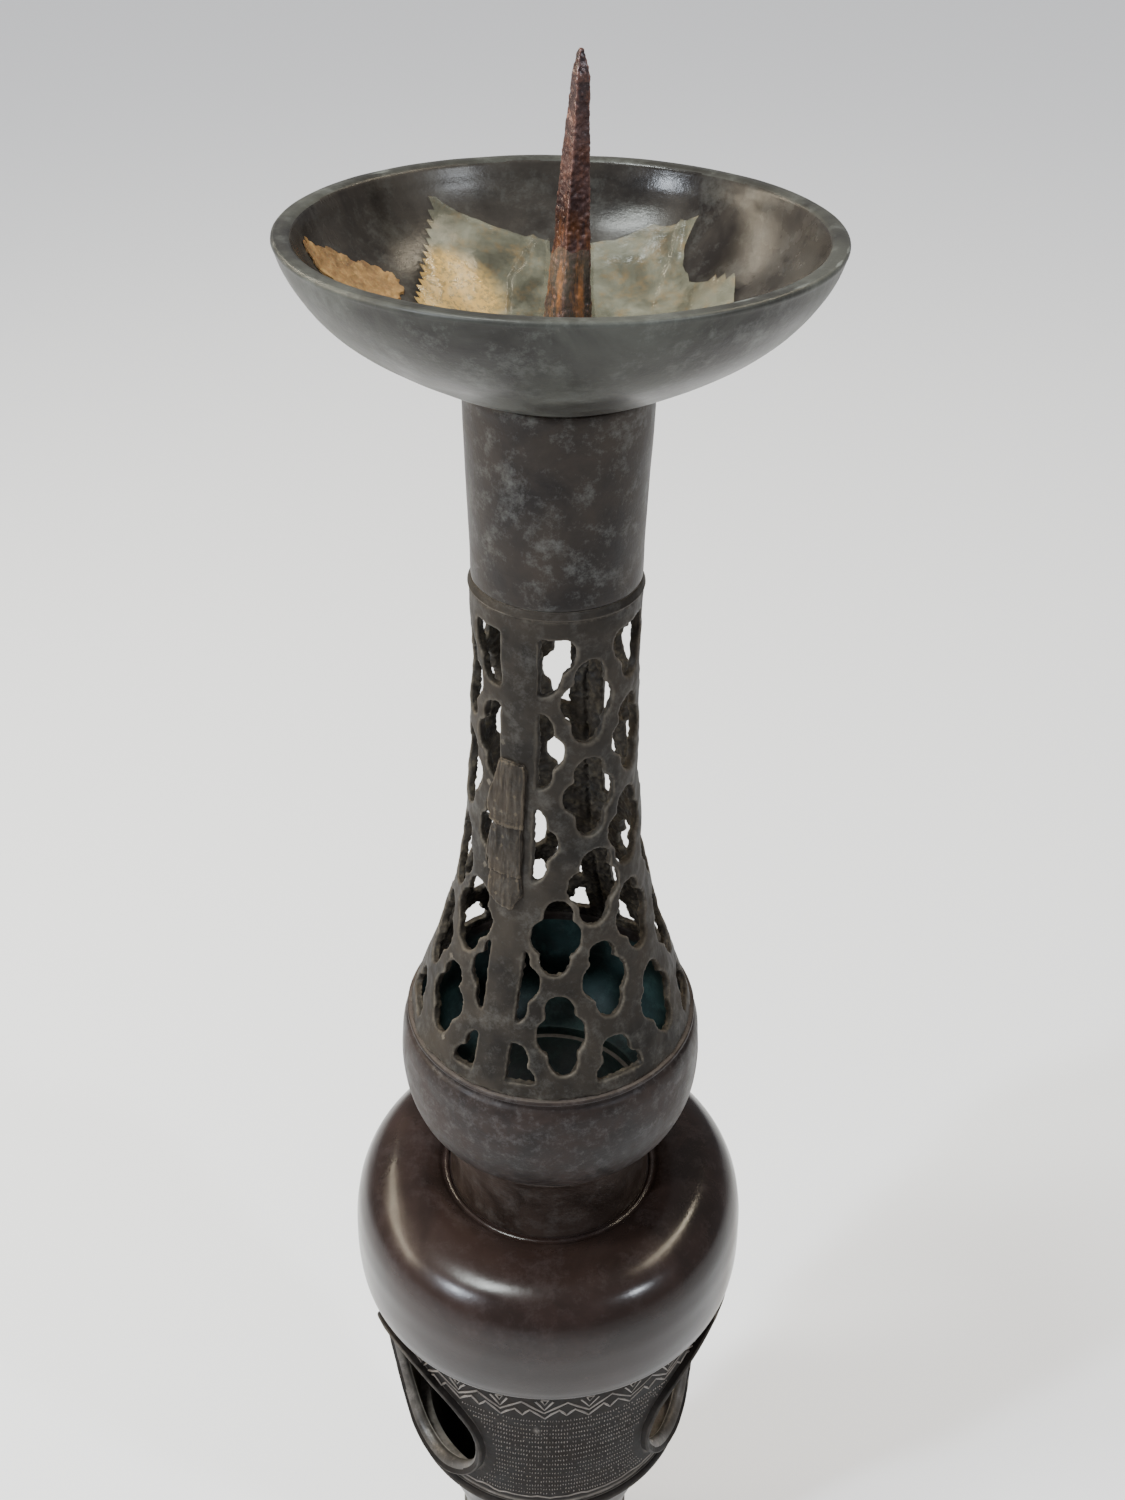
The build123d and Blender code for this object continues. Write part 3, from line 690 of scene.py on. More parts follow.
# how far out a turned profile stands at a height, from its (share of the rise, radius) list
def radiusAt(shares, share):
    steps = sorted(shares)
    for (low, lowRadius), (high, highRadius) in zip(steps, steps[1:]):
        if share <= high:
            return lowRadius + (highRadius - lowRadius) * max(0.0, share - low) / (high - low)
    return steps[-1][1]


def cutWith(piece, cutter, operation="DIFFERENCE"):
    applyModifier(piece, "BOOLEAN", object=cutter, operation=operation, solver="EXACT")
    bpy.data.objects.remove(cutter, do_unlink=True)


# removes what lies beyond a plane and closes the cut
def sliceAway(piece, spot, normal):
    makeActive(piece)
    bpy.ops.object.mode_set(mode="EDIT")
    bpy.ops.mesh.select_all(action="SELECT")
    bpy.ops.mesh.bisect(plane_co=spot, plane_no=normal, use_fill=True, clear_outer=True, threshold=0.001 * mm)
    bpy.ops.object.mode_set(mode="OBJECT")


def joinPieces(pieces, name):
    deselectAll()
    for piece in pieces:
        piece.select_set(True)
    bpy.context.view_layer.objects.active = pieces[0]
    bpy.ops.object.join()
    joined = bpy.context.object
    joined.name = name
    return joined


def copyOf(piece, name):
    makeActive(piece)
    bpy.ops.object.duplicate(linked=False)
    bpy.context.object.name = name
    return bpy.context.object


def setPlace(piece, matrix):
    piece.matrix_world = matrix
    makeActive(piece)
    bpy.ops.object.transform_apply(location=True, rotation=True, scale=True)


def turned(azimuth):
    return Matrix.Rotation(math.radians(azimuth), 4, "Z")


def sideways(azimuth):
    return turned(azimuth) @ Vector((1, 0, 0))


# presses an outline in the XZ plane into a prism along Y, from one depth to another
def makePrism(name, points, front, back, stepsPerSpan=3):
    prism = drawOutline(name, points, True, stepsPerSpan)
    bpy.ops.object.mode_set(mode="EDIT")
    bpy.ops.mesh.select_all(action="SELECT")
    bpy.ops.mesh.remove_doubles(threshold=0.002 * mm)
    bpy.ops.mesh.edge_face_add()
    bpy.ops.transform.translate(value=(0, front, 0))
    bpy.ops.mesh.extrude_region_move(TRANSFORM_OT_translate={"value": (0, back - front, 0)})
    bpy.ops.mesh.select_all(action="SELECT")
    bpy.ops.mesh.normals_make_consistent(inside=False)
    bpy.ops.object.mode_set(mode="OBJECT")
    return prism


def evenMesh(piece, voxel, smoothing=2):
    applyModifier(piece, "REMESH", mode="VOXEL", voxel_size=voxel, use_smooth_shade=True)
    if smoothing:
        applyModifier(piece, "SMOOTH", factor=0.5, iterations=smoothing)


# moves the surface in and out by noise; stretch squeezes the pattern, share says how much of it a point takes
def roughen(piece, depth, size, stretch=(1, 1, 1), share=None, seed=0.0, octaves=3):
    mesh = piece.data
    scale = Vector(stretch) / size
    moved = []
    for vertex in mesh.vertices:
        amount = depth if share is None else depth * share(vertex.co)
        spot = Vector((vertex.co.x * scale.x, vertex.co.y * scale.y, vertex.co.z * scale.z + seed))
        moved.append(vertex.co + vertex.normal * amount * noise.fractal(spot, 0.9, 2.1, octaves))
    for vertex, place in zip(mesh.vertices, moved):
        vertex.co = place
    mesh.update()


# the openwork sleeve is pierced and roughened whole, then sawn into its two cast halves
lattice = {
    "neck": 20.2 * mm, "foot": 38.6 * mm, "wall": 2.2 * mm,
    "flare": ((1, 1), (0.9, 0.765), (0.78, 0.49), (0.66, 0.275), (0.55, 0.148), (0.43, 0.07), (0.3, 0.02),
              (0.1, -0.015),
              (0, 0)),
    "band": seamTurn, "bandWidth": 9.4 * mm, "topBorder": 5.0 * mm, "footBorder": 3.5 * mm,
    "firstDrop": 9.0 * mm, "pitch": 13.0 * mm, "voxel": 0.50 * mm,
    "rows": ((19, 87, 163), (50, 128), (15, 86, 166), (51, 124), (12, 82, 168), (53, 118), (27, 81, 142),
             (6, 55, 112, 172), (31, 85, 143), (9, 56, 113, 171)),
    # half of a hole with four lobes, top to bottom: across, up
    "lobes": ((0, 11.2), (2.3, 10.5), (3.7, 8.6), (4.1, 6.6), (4.0, 5.2), (5.0, 4.4), (6.3, 3.1), (6.8, 0.6),
              (6.5, -2.2),
              (5.2, -4.1), (4.2, -5.1), (4.1, -6.7), (3.5, -8.9), (2.1, -10.6)),
    "wobble": 0.9 * mm, "wobbleSize": 9 * mm, "flash": 1.0 * mm, "flashSize": 1.5 * mm,
    "seed": 11,
}
latticeRise = levels["latticeTop"] - levels["bulbTop"]
latticeShares = [(1 - drop, lattice["neck"] + (lattice["foot"] - lattice["neck"]) * widening)
                 for drop, widening in lattice["flare"]]


def latticeRadius(height):
    return radiusAt(latticeShares, (height - levels["bulbTop"]) / latticeRise)


def depthShare(spot):
    outside = latticeRadius(spot.z)
    return min(1.0, max(0.0, (outside - math.hypot(spot.x, spot.y)) / lattice["wall"]))


def makeHoleCutters(side):
    right = [(across * mm, up * mm, "s") for across, up in lattice["lobes"]]
    left = [(-across * mm, up * mm, "s") for across, up in reversed(lattice["lobes"][1:])]
    model = makePrism("hole", right + [(0, -11.2 * mm, "s")] + left, -7 * mm, 6 * mm)
    cutters = []
    for row, azimuths in enumerate(lattice["rows"]):
        height = levels["latticeTop"] - lattice["firstDrop"] - row * lattice["pitch"]
        radius = latticeRadius(height)
        slope = math.atan2(latticeRadius(height - 4 * mm) - latticeRadius(height + 4 * mm), 8 * mm)
        for azimuth in azimuths:
            cutter = copyOf(model, "hole")
            narrow = random.uniform(0.90, 1.03)
            tall = random.uniform(0.93, 1.0)
            tilt = Matrix.Rotation(math.radians(random.uniform(-5, 5)), 4, "Y")
            drift = random.uniform(-1.5, 1.5)
            setPlace(cutter, turned(lattice["band"] + side * azimuth + drift)
                     @ Matrix.Translation((0, -radius, height))
                     @ Matrix.Rotation(-slope, 4, "X") @ tilt @ Matrix.Diagonal((narrow * side, 1, tall, 1)))
            cutters.append(cutter)
    bpy.data.objects.remove(model, do_unlink=True)
    joined = joinPieces(cutters, "holes")
    bpy.ops.object.mode_set(mode="EDIT")
    bpy.ops.mesh.select_all(action="SELECT")
    bpy.ops.mesh.normals_make_consistent(inside=False)
    bpy.ops.object.mode_set(mode="OBJECT")
    outward = sideways(lattice["band"]) * side
    sliceAway(joined, outward * lattice["bandWidth"] / 2, -outward)
    sliceAway(joined, (0, 0, levels["latticeTop"] - lattice["topBorder"]), (0, 0, 1))
    sliceAway(joined, (0, 0, levels["bulbTop"] + lattice["footBorder"]), (0, 0, -1))
    return joined


# the raised weld line inside the rear band is cut back to a narrow groove
def cutSeam(piece, azimuth, width, depth):
    across, outward = sideways(azimuth), turned(azimuth) @ Vector((0, -1, 0))
    for vertex in piece.data.vertices:
        spot = vertex.co
        aside = spot.dot(across)
        below = spot.z < levels["latticeTop"] - lattice["topBorder"]
        if abs(aside) < 3 * width and spot.dot(outward) > 0 and below:
            spot -= vertex.normal * depth * math.exp(-(aside / width) ** 2)


def makeLattice():
    sleeve = turnPiece("sleeve",
                       wallOutline(latticeShares, levels["bulbTop"], latticeRise, lattice["wall"], 1),
                       steps=224, stepsPerSpan=4)
    random.seed(lattice["seed"])
    for side in (1, -1):
        cutWith(sleeve, makeHoleCutters(side))
    evenMesh(sleeve, lattice["voxel"], 3)
    texture = bpy.data.textures.new("sleeveWobble", "CLOUDS")
    texture.noise_scale = lattice["wobbleSize"]
    texture.cloud_type = "COLOR"
    applyModifier(sleeve, "DISPLACE", texture=texture, strength=lattice["wobble"], mid_level=0.5,
                  direction="RGB_TO_XYZ", texture_coords="LOCAL")
    roughen(sleeve, 0.16 * mm, 5 * mm, seed=3.0)
    roughen(sleeve, lattice["flash"], lattice["flashSize"],
            share=lambda spot: max(0.0, depthShare(spot) - 0.35) * 0.9)
    cutSeam(sleeve, lattice["band"] + 180, 0.5 * mm, 0.75 * mm)
    sliceAway(sleeve, (0, 0, levels["latticeTop"]), (0, 0, 1))
    sliceAway(sleeve, (0, 0, levels["bulbTop"]), (0, 0, -1))
    sleeve.data.materials.append(bronze["openwork"])
    sleeve.data.materials.append(bronze["openworkInside"])
    for face in sleeve.data.polygons:
        spot = face.center
        inward = spot.x * face.normal.x + spot.y * face.normal.y < 0.25 * math.hypot(spot.x, spot.y)
        if depthShare(spot) > 0.42 and inward:
            face.material_index = 1
    outward = sideways(lattice["band"])
    for side, name, node in ((1, "openworkRight", "lattice_right"), (-1, "openworkLeft", "lattice_left")):
        half = copyOf(sleeve, name)
        sliceAway(half, (0, 0, 0), -outward * side)
        bpy.ops.object.shade_smooth_by_angle(angle=math.radians(60))
        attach(half, "column")
        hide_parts(node)
    bpy.data.objects.remove(sleeve, do_unlink=True)


plank = {"length": 40.6 * mm, "thick": 1.25 * mm, "drop": 38.7 * mm, "turn": -5.0, "voxel": 0.3 * mm,
         "cracks": ((17.5, 0.3), (31.5, 0.7)), "crackSize": (6.5 * mm, 2.0 * mm, 0.55 * mm, 1),
         "grain": 0.30 * mm, "step": 0.7 * mm, "steps": (0.0, 17.5, 31.5, 41.0),
         # seen from the front: across, down from its top
         "outline": ((-2.3, 0), (-3.4, 4), (-4.9, 9.5), (-5.5, 14), (-4.2, 17.5), (-5.0, 21), (-5.4, 26),
                     (-4.3, 31.5),
                     (-4.5, 36), (-2.6, 39.6), (0.5, 40.6), (3.4, 40.0), (4.2, 30), (4.0, 18), (4.3, 6),
                     (3.9, 0))}


def makePlank():
    high = levels["latticeTop"] - plank["drop"]
    low = high - plank["length"]
    steps = 10
    heights = [low + (high - low) * step / steps for step in range(steps + 1)]
    outside = [(latticeRadius(height) + plank["thick"], height, "s") for height in heights]
    inside = [(latticeRadius(height) - 0.5 * mm, height, "s") for height in reversed(heights)]
    outline = [(radius, height, "c" if place in (0, steps, steps + 1, 2 * steps + 1) else mark)
               for place, (radius, height, mark) in enumerate(outside + inside)]
    strip = turnPiece("frontStrip", outline, steps=224, stepsPerSpan=2)
    azimuth = lattice["band"] + plank["turn"]
    sliceAway(strip, (0, 0, 0), turned(azimuth) @ Vector((0, 1, 0)))
    shape = makePrism("plankShape", [(across * mm, -down * mm, "s") for across, down in plank["outline"]],
                      -60 * mm, -10 * mm)
    setPlace(shape, turned(azimuth) @ Matrix.Translation((0, 0, high)))
    cutWith(strip, shape, "INTERSECT")
    for drop, tilt in plank["cracks"]:
        deselectAll()
        bpy.ops.mesh.primitive_cube_add(size=1)
        crack = bpy.context.object
        height = high - drop * mm
        setPlace(crack, turned(azimuth)
                 @ Matrix.Translation((-3.2 * mm, -latticeRadius(height) - 0.9 * mm, height))
                 @ Matrix.Rotation(tilt * 0.25, 4, "Y") @ Matrix.Diagonal(plank["crackSize"]))
        cutWith(strip, crack)
    evenMesh(strip, plank["voxel"], 3)
    for vertex in strip.data.vertices:
        spot = vertex.co
        down = (high - spot.z) / mm
        proud = radiusAt([(share, share - start) for start, end in zip(plank["steps"], plank["steps"][1:])
                          for share in (start, end - 0.01)], down) / 14
        if math.hypot(spot.x, spot.y) > latticeRadius(spot.z) + 0.5 * mm:
            spot += vertex.normal * plank["step"] * (proud - 0.5)
    roughen(strip, plank["grain"], 1.1 * mm, stretch=(1, 1, 0.07), seed=9.0)
    roughen(strip, 0.35 * mm, 7 * mm, seed=4.0)
    dress(strip, "column", "bronze_openwork", bronze["plank"], "front_strip")


makeLattice()
makePlank()
print("openwork ready")


# the windowed body: cast wall, three oval windows, a zigzag border and rows of short raised dashes
body = {
    "wall": 2.6 * mm, "steps": 288,
    "profile": ((0, 44.8), (0.13, 46.3), (0.35, 48.6), (0.60, 51.0), (0.82, 53.6), (1, 55.4)),
    "windows": (-52.0, 68.0, 188.0), "windowDrop": 40.0 * mm, "halfWidth": 22.0 * mm, "halfHeight": 30.5 * mm,
    "frameWidth": 3.4 * mm, "darkFrom": 1.055,  # the frame is dark outside this share of the opening
}
bodyRise = levels["bodyTop"] - levels["borderTop"]
bodyShares = [(share, radius * mm) for share, radius in body["profile"]]
windowHeight = levels["bodyTop"] - body["windowDrop"]


def bodyRadius(height):
    return radiusAt(bodyShares, (height - levels["borderTop"]) / bodyRise)


# a point on the body's surface: azimuth in degrees, height, and how far proud it stands
def onBody(azimuth, height, proud=0.0):
    radius = bodyRadius(height) + proud
    turn = math.radians(azimuth)
    return Vector((radius * math.sin(turn), -radius * math.cos(turn), height))


# how far a point is from the middle of the nearest window, 1 on the frame's outer edge
def windowReach(azimuth, height, margin=0.0):
    nearest = min(body["windows"], key=lambda middle: abs((azimuth - middle + 180) % 360 - 180))
    across = bodyRadius(height) * math.sin(math.radians(azimuth - nearest))
    wide = body["halfWidth"] + body["frameWidth"] + margin
    tall = body["halfHeight"] + body["frameWidth"] + margin
    return math.hypot(across / wide, (height - windowHeight) / tall)


def windowPrism(azimuth, wide, tall):
    deselectAll()
    bpy.ops.mesh.primitive_cylinder_add(vertices=128, radius=1, depth=1)
    prism = bpy.context.object
    setPlace(prism, turned(azimuth) @ Matrix.Translation((0, -45 * mm, windowHeight))
             @ Matrix.Rotation(math.radians(90), 4, "X") @ Matrix.Diagonal((wide, tall, 60 * mm, 1)))
    return prism


def makeLine(name, points, thick, cyclic=True):
    curve = bpy.data.curves.new(name, "CURVE")
    curve.dimensions = "3D"
    curve.bevel_depth = thick
    curve.bevel_resolution = 1
    spline = curve.splines.new("POLY")
    spline.points.add(len(points) - 1)
    for handle, place in zip(spline.points, points):
        handle.co = (*place, 1)
    spline.use_cyclic_u = cyclic
    line = bpy.data.objects.new(name, curve)
    bpy.context.collection.objects.link(line)
    makeActive(line)
    bpy.ops.object.convert(target="MESH")
    return bpy.context.object


zigzag = {
    "count": 26, "start": 6.9, "thick": 0.42 * mm, "sunk": 0.10 * mm, "waver": 0.30,
    # share of one repeat, drop below the top of the body in millimetres
    "main": ((0, 5.7), (0.25, 8.8), (0.5, 11.8), (0.75, 8.8)),
    "low": ((0, 13.4), (0.09, 11.6), (0.17, 10.1), (0.34, 12.4), (0.5, 15.0), (0.66, 12.4), (0.83, 10.1),
            (0.91, 11.6)),
    "inner": ((0.30, 5.0), (0.40, 7.3), (0.5, 9.9), (0.60, 7.3), (0.70, 5.0)),
    "chip": ((0.42, 4.0), (0.5, 6.6), (0.58, 4.0), (0.42, 4.0)),
}


def zigzagPoints(repeat, share, drop):
    azimuth = zigzag["start"] + 360.0 / zigzag["count"] * (repeat + share)
    shake = zigzag["waver"] * noise.noise(Vector((azimuth * 0.9, drop * 0.7, 1.0)))
    return onBody(azimuth + shake, levels["bodyTop"] - (drop + shake) * mm, -zigzag["sunk"])


def makeZigzag():
    lines = []
    for key in ("main", "low"):
        points = [zigzagPoints(repeat, share, drop)
                  for repeat in range(zigzag["count"]) for share, drop in zigzag[key]]
        lines.append(makeLine("zigzag", points, zigzag["thick"]))
    for key in ("inner", "chip"):
        for repeat in range(zigzag["count"]):
            points = [zigzagPoints(repeat, share, drop) for share, drop in zigzag[key]]
            lines.append(makeLine("zigzag", points, zigzag["thick"] * 0.8, False))
    rim = [onBody(step * 3, levels["bodyTop"] - 1.1 * mm, 0.05 * mm) for step in range(120)]
    lines.append(makeLine("zigzag", rim, 0.45 * mm))
    wave = [onBody(step * 2.5,
                   levels["borderTop"] + (4.6 + 1.6 * noise.noise(Vector((step * 0.45, 0, 7)))) * mm,
                   -0.1 * mm) for step in range(144)]
    lines.append(makeLine("zigzag", wave, 0.45 * mm))
    return joinPieces(lines, "zigzag")


stipple = {"rowPitch": 2.9 * mm, "pitch": 0.86 * mm, "wide": 0.50 * mm, "tall": 1.45 * mm, "proud": 0.30 * mm,
           "first": 17.0 * mm, "rows": 18, "margin": 2.6 * mm, "missing": 0.10, "lean": 14,
           "bareFoot": 6.5 * mm}


# one dash is modelled, then set out in wandering rows on the panels between the windows
def makeStipple():
    deselectAll()
    bpy.ops.mesh.primitive_cone_add(vertices=6, radius1=0.5, radius2=0.18, depth=1)
    dash = bpy.context.object
    corners = [vertex.co.copy() for vertex in dash.data.vertices]
    faces = [list(face.vertices) for face in dash.data.polygons]
    bpy.data.objects.remove(dash, do_unlink=True)
    places, sides = [], []
    for row in range(stipple["rows"]):
        level = levels["bodyTop"] - stipple["first"] - row * stipple["rowPitch"]
        count = int(2 * math.pi * bodyRadius(level) / stipple["pitch"])
        for number in range(count):
            azimuth = number * 360.0 / count + random.uniform(-0.12, 0.12)
            waver = 0.9 * mm * noise.noise(Vector((azimuth * 0.06, row * 0.35, 2.0)))
            height = level + waver + random.uniform(-0.18, 0.18) * mm
            if windowReach(azimuth, height, stipple["margin"]) < 1 or random.random() < stipple["missing"]:
                continue
            bareTop = levels["borderTop"] + stipple["bareFoot"]
            if height < bareTop + 2 * mm * noise.noise(Vector((azimuth * 0.05, 5, 0))):
                continue
            lean = turned(azimuth) @ Matrix.Rotation(math.radians(90), 4, "X") @ Matrix.Rotation(
                math.radians(random.uniform(-stipple["lean"], stipple["lean"])), 4, "Z")
            size = Vector((stipple["wide"] * random.uniform(0.75, 1.2),
                           stipple["tall"] * random.uniform(0.6, 1.1),
                           stipple["proud"] * 2 * random.uniform(0.5, 1.15)))
            middle = onBody(azimuth, height)
            start = len(places)
            for corner in corners:
                places.append(
                    middle + lean @ Vector((corner.x * size.x, corner.y * size.y, corner.z * size.z)))
            sides.extend([start + index for index in face] for face in faces)
    mesh = bpy.data.meshes.new("stipple")
    mesh.from_pydata(places, [], sides)
    dashes = bpy.data.objects.new("stipple", mesh)
    bpy.context.collection.objects.link(dashes)
    return dashes


def makeBody():
    wall = turnPiece("windowBody", wallOutline(bodyShares, levels["borderTop"], bodyRise, body["wall"], 1),
                     steps=body["steps"], stepsPerSpan=6)
    castUneven(wall, 0.35 * mm, 14 * mm)
    relief = makeZigzag()
    for azimuth in body["windows"]:
        wide = body["halfWidth"] + body["frameWidth"] - 0.5 * mm
        tall = body["halfHeight"] + body["frameWidth"] - 0.5 * mm
        for piece in (wall, relief):
            cutWith(piece, windowPrism(azimuth, wide, tall))
    dashes = makeStipple()
    for piece, key in ((wall, "relief"), (relief, "reliefTop"), (dashes, "reliefTop")):
        piece.data.materials.clear()
        piece.data.materials.append(bronze[key])
    paintInside(wall, bronze["bodyInside"], levels["bodyTop"])
    whole = joinPieces([wall, relief, dashes], "windowBody")
    bpy.ops.object.shade_smooth_by_angle(angle=math.radians(40))
    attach(whole, "base")
    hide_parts("window_body")


# section of a window frame: out from the opening's edge, and proud of the body
frameShape = ((0.0, -2.6, "c"), (-0.25, -1.6, "s"), (0.1, -0.4, "s"), (0.9, 0.7, "s"), (1.9, 1.6, "s"),
              (2.7, 2.2, "s"),
              (3.1, 2.35, "s"), (3.4, 2.1, "s"), (3.45, 1.4, "s"), (3.35, 0.2, "s"), (3.3, -2.6, "c"))


def makeFrames():
    base = body["halfWidth"]
    outline = [(base + out * mm, proud * mm, mark) for out, proud, mark in frameShape]
    for number, azimuth in enumerate(body["windows"], start=1):
        ring = turnPiece("windowFrame" + str(number), outline, steps=160, stepsPerSpan=3, angle=50)
        for vertex in ring.data.vertices:
            angle = math.atan2(vertex.co.y, vertex.co.x)
            out = math.hypot(vertex.co.x, vertex.co.y) - base
            across = (base + out) * math.cos(angle)
            up = (body["halfHeight"] + out) * math.sin(angle)
            height = windowHeight + up
            depth = math.sqrt(bodyRadius(height) ** 2 - across ** 2) + vertex.co.z
            vertex.co = turned(azimuth) @ Vector((across, -depth, height))
        tidyMesh(ring, angle=50)
        castUneven(ring, 0.5 * mm, 9 * mm)
        dress(ring, "base", "bronze_rim", bronze["rimmed"], "window_frame_" + str(number))
        ring.data.materials.append(bronze["relief"])
        for face in ring.data.polygons:
            spot = turned(-azimuth) @ face.center
            if math.hypot(spot.x / base, (spot.z - windowHeight) / body["halfHeight"]) > body["darkFrom"]:
                face.material_index = 1


makeBody()
makeFrames()
print("windowed body ready")


# the forged iron spike with its tang and clenched head under the pan's floor
spike = {"footSide": 8.6 * mm, "tipSide": 2.3 * mm, "footOffset": 1.2 * mm, "tipOffset": 3.4 * mm,
         "turn": 32.0,
         "tang": 3.0 * mm, "head": 4.6 * mm, "headHeight": 1.6 * mm, "burr": 1.6 * mm}
floorLevel = levels["tubeTop"] + 2.5 * mm
spikeRise = levels["tip"] - floorLevel


def spikeMiddle(height):
    share = (height - floorLevel) / spikeRise
    return spike["footOffset"] + (spike["tipOffset"] - spike["footOffset"]) * share


def makeSpike():
    deselectAll()
    bpy.ops.mesh.primitive_cube_add(size=1)
    blade = bpy.context.object
    setPlace(blade, Matrix.Translation((0, 0, 0.5)))
    bpy.ops.object.mode_set(mode="EDIT")
    bpy.ops.mesh.select_all(action="SELECT")
    bpy.ops.mesh.subdivide(number_cuts=13)
    bpy.ops.object.mode_set(mode="OBJECT")
    lowShare = (levels["tubeTop"] - floorLevel) / spikeRise
    for vertex in blade.data.vertices:
        share = vertex.co.z
        side = spike["footSide"] + (spike["tipSide"] - spike["footSide"]) * share
        side *= 1 - 0.55 * max(0.0, share - 0.965) / 0.035
        twist = Matrix.Rotation(
            math.radians(spike["turn"] + 5 * noise.noise(Vector((share * 3, 0, 0)))), 4, "Z")
        spot = twist @ Vector((vertex.co.x * side, vertex.co.y * side, 0))
        height = floorLevel + spikeRise * (lowShare + (1 - lowShare) * share)
        vertex.co = spot + Vector((spikeMiddle(height) + 0.25 * mm * noise.noise(Vector((0, share * 4, 2))),
                                   0, height))
    pieces = [blade]
    low = levels["tubeTop"] - spike["burr"]
    for radius, bottom, top in ((spike["tang"], low, floorLevel + 0.5 * mm),
                                (spike["head"], low - spike["headHeight"], low)):
        bpy.ops.mesh.primitive_cylinder_add(vertices=48, radius=radius, depth=top - bottom,
                                            location=(spike["footOffset"], 0, (top + bottom) / 2))
        bpy.ops.object.transform_apply(location=True)
        pieces.append(bpy.context.object)
    iron = joinPieces(pieces, "pricketSpike")
    applyModifier(iron, "BEVEL", width=0.35 * mm, segments=2, limit_method="ANGLE")
    evenMesh(iron, 0.28 * mm, 3)
    roughen(iron, 0.30 * mm, 4 * mm, stretch=(1, 1, 0.5), seed=2.0)
    roughen(iron, 0.16 * mm, 0.9 * mm, seed=5.0, octaves=4)
    dress(iron, "pan_unit", "rusty_iron", ironFinish, "pricket_spike")


# dull film of old wax with a torn, lumpy edge
wax = {"middle": (-43.0, 9.5), "turn": 50.0, "half": (12.5, 4.8), "thick": 0.55 * mm}


def panInside(radius):
    points = sorted(point[:2] for point in panShape["inside"][3:])
    for (low, lowZ), (high, highZ) in zip(points, points[1:]):
        if radius <= high * mm:
            share = max(0.0, radius - low * mm) / ((high - low) * mm)
            return levels["tubeTop"] + (lowZ + (highZ - lowZ) * share) * mm
    return levels["tubeTop"] + points[-1][1] * mm


# a thin slab cut to a plan outline and laid on the pan's inside; rise gives its height above the metal
def layInPan(name, plan, cell, thick, rise):
    wide = [min(x for x, y in plan), max(x for x, y in plan)]
    deep = [min(y for x, y in plan), max(y for x, y in plan)]
    columns, rows = int((wide[1] - wide[0]) / cell) + 3, int((deep[1] - deep[0]) / cell) + 3
    deselectAll()
    bpy.ops.mesh.primitive_grid_add(x_subdivisions=columns, y_subdivisions=rows, size=1)
    slab = bpy.context.object
    setPlace(slab, Matrix.Translation((sum(wide) / 2 * mm, sum(deep) / 2 * mm, 0)) @ Matrix.Diagonal(
        (columns * cell * mm, rows * cell * mm, 1, 1)))
    applyModifier(slab, "SOLIDIFY", thickness=thick, offset=1)
    prism = drawOutline("plan", [(x * mm, y * mm, "c") for x, y in plan], True, 1)
    bpy.ops.object.mode_set(mode="EDIT")
    bpy.ops.mesh.select_all(action="SELECT")
    bpy.ops.mesh.remove_doubles(threshold=0.002 * mm)
    bpy.ops.mesh.edge_face_add()
    bpy.ops.transform.translate(value=(0, -5 * mm, 0))
    bpy.ops.mesh.extrude_region_move(TRANSFORM_OT_translate={"value": (0, 10 * mm, 0)})
    bpy.ops.mesh.select_all(action="SELECT")
    bpy.ops.mesh.normals_make_consistent(inside=False)
    bpy.ops.object.mode_set(mode="OBJECT")
    setPlace(prism, Matrix.Rotation(math.radians(-90), 4, "X"))
    cutWith(slab, prism, "INTERSECT")
    slab.name = name
    for vertex in slab.data.vertices:
        x, y, up = vertex.co
        vertex.co = Vector((x, y, panInside(math.hypot(x, y)) + rise(x / mm, y / mm) * mm + up))
    makeActive(slab)
    bpy.ops.object.shade_smooth_by_angle(angle=math.radians(50))
    return slab


def makeWax():
    plan = []
    turn = math.radians(wax["turn"])
    for step in range(90):
        angle = math.radians(step * 4)
        torn = 1 + 0.20 * noise.fractal(
            Vector((math.cos(angle) * 2.2, math.sin(angle) * 2.2, 4.0)), 0.8, 2.0, 4)
        x, y = wax["half"][0] * torn * math.cos(angle), wax["half"][1] * torn * math.sin(angle)
        plan.append((wax["middle"][0] + x * math.cos(turn) - y * math.sin(turn),
                     wax["middle"][1] + x * math.sin(turn) + y * math.cos(turn)))
    film = layInPan("waxResidue", plan, 0.45, wax["thick"], lambda x, y: 0.02)
    roughen(film, 0.40 * mm, 1.3 * mm, seed=6.0, octaves=4)
    dress(film, "pan_unit", "old_wax", waxFinish, "wax_residue")


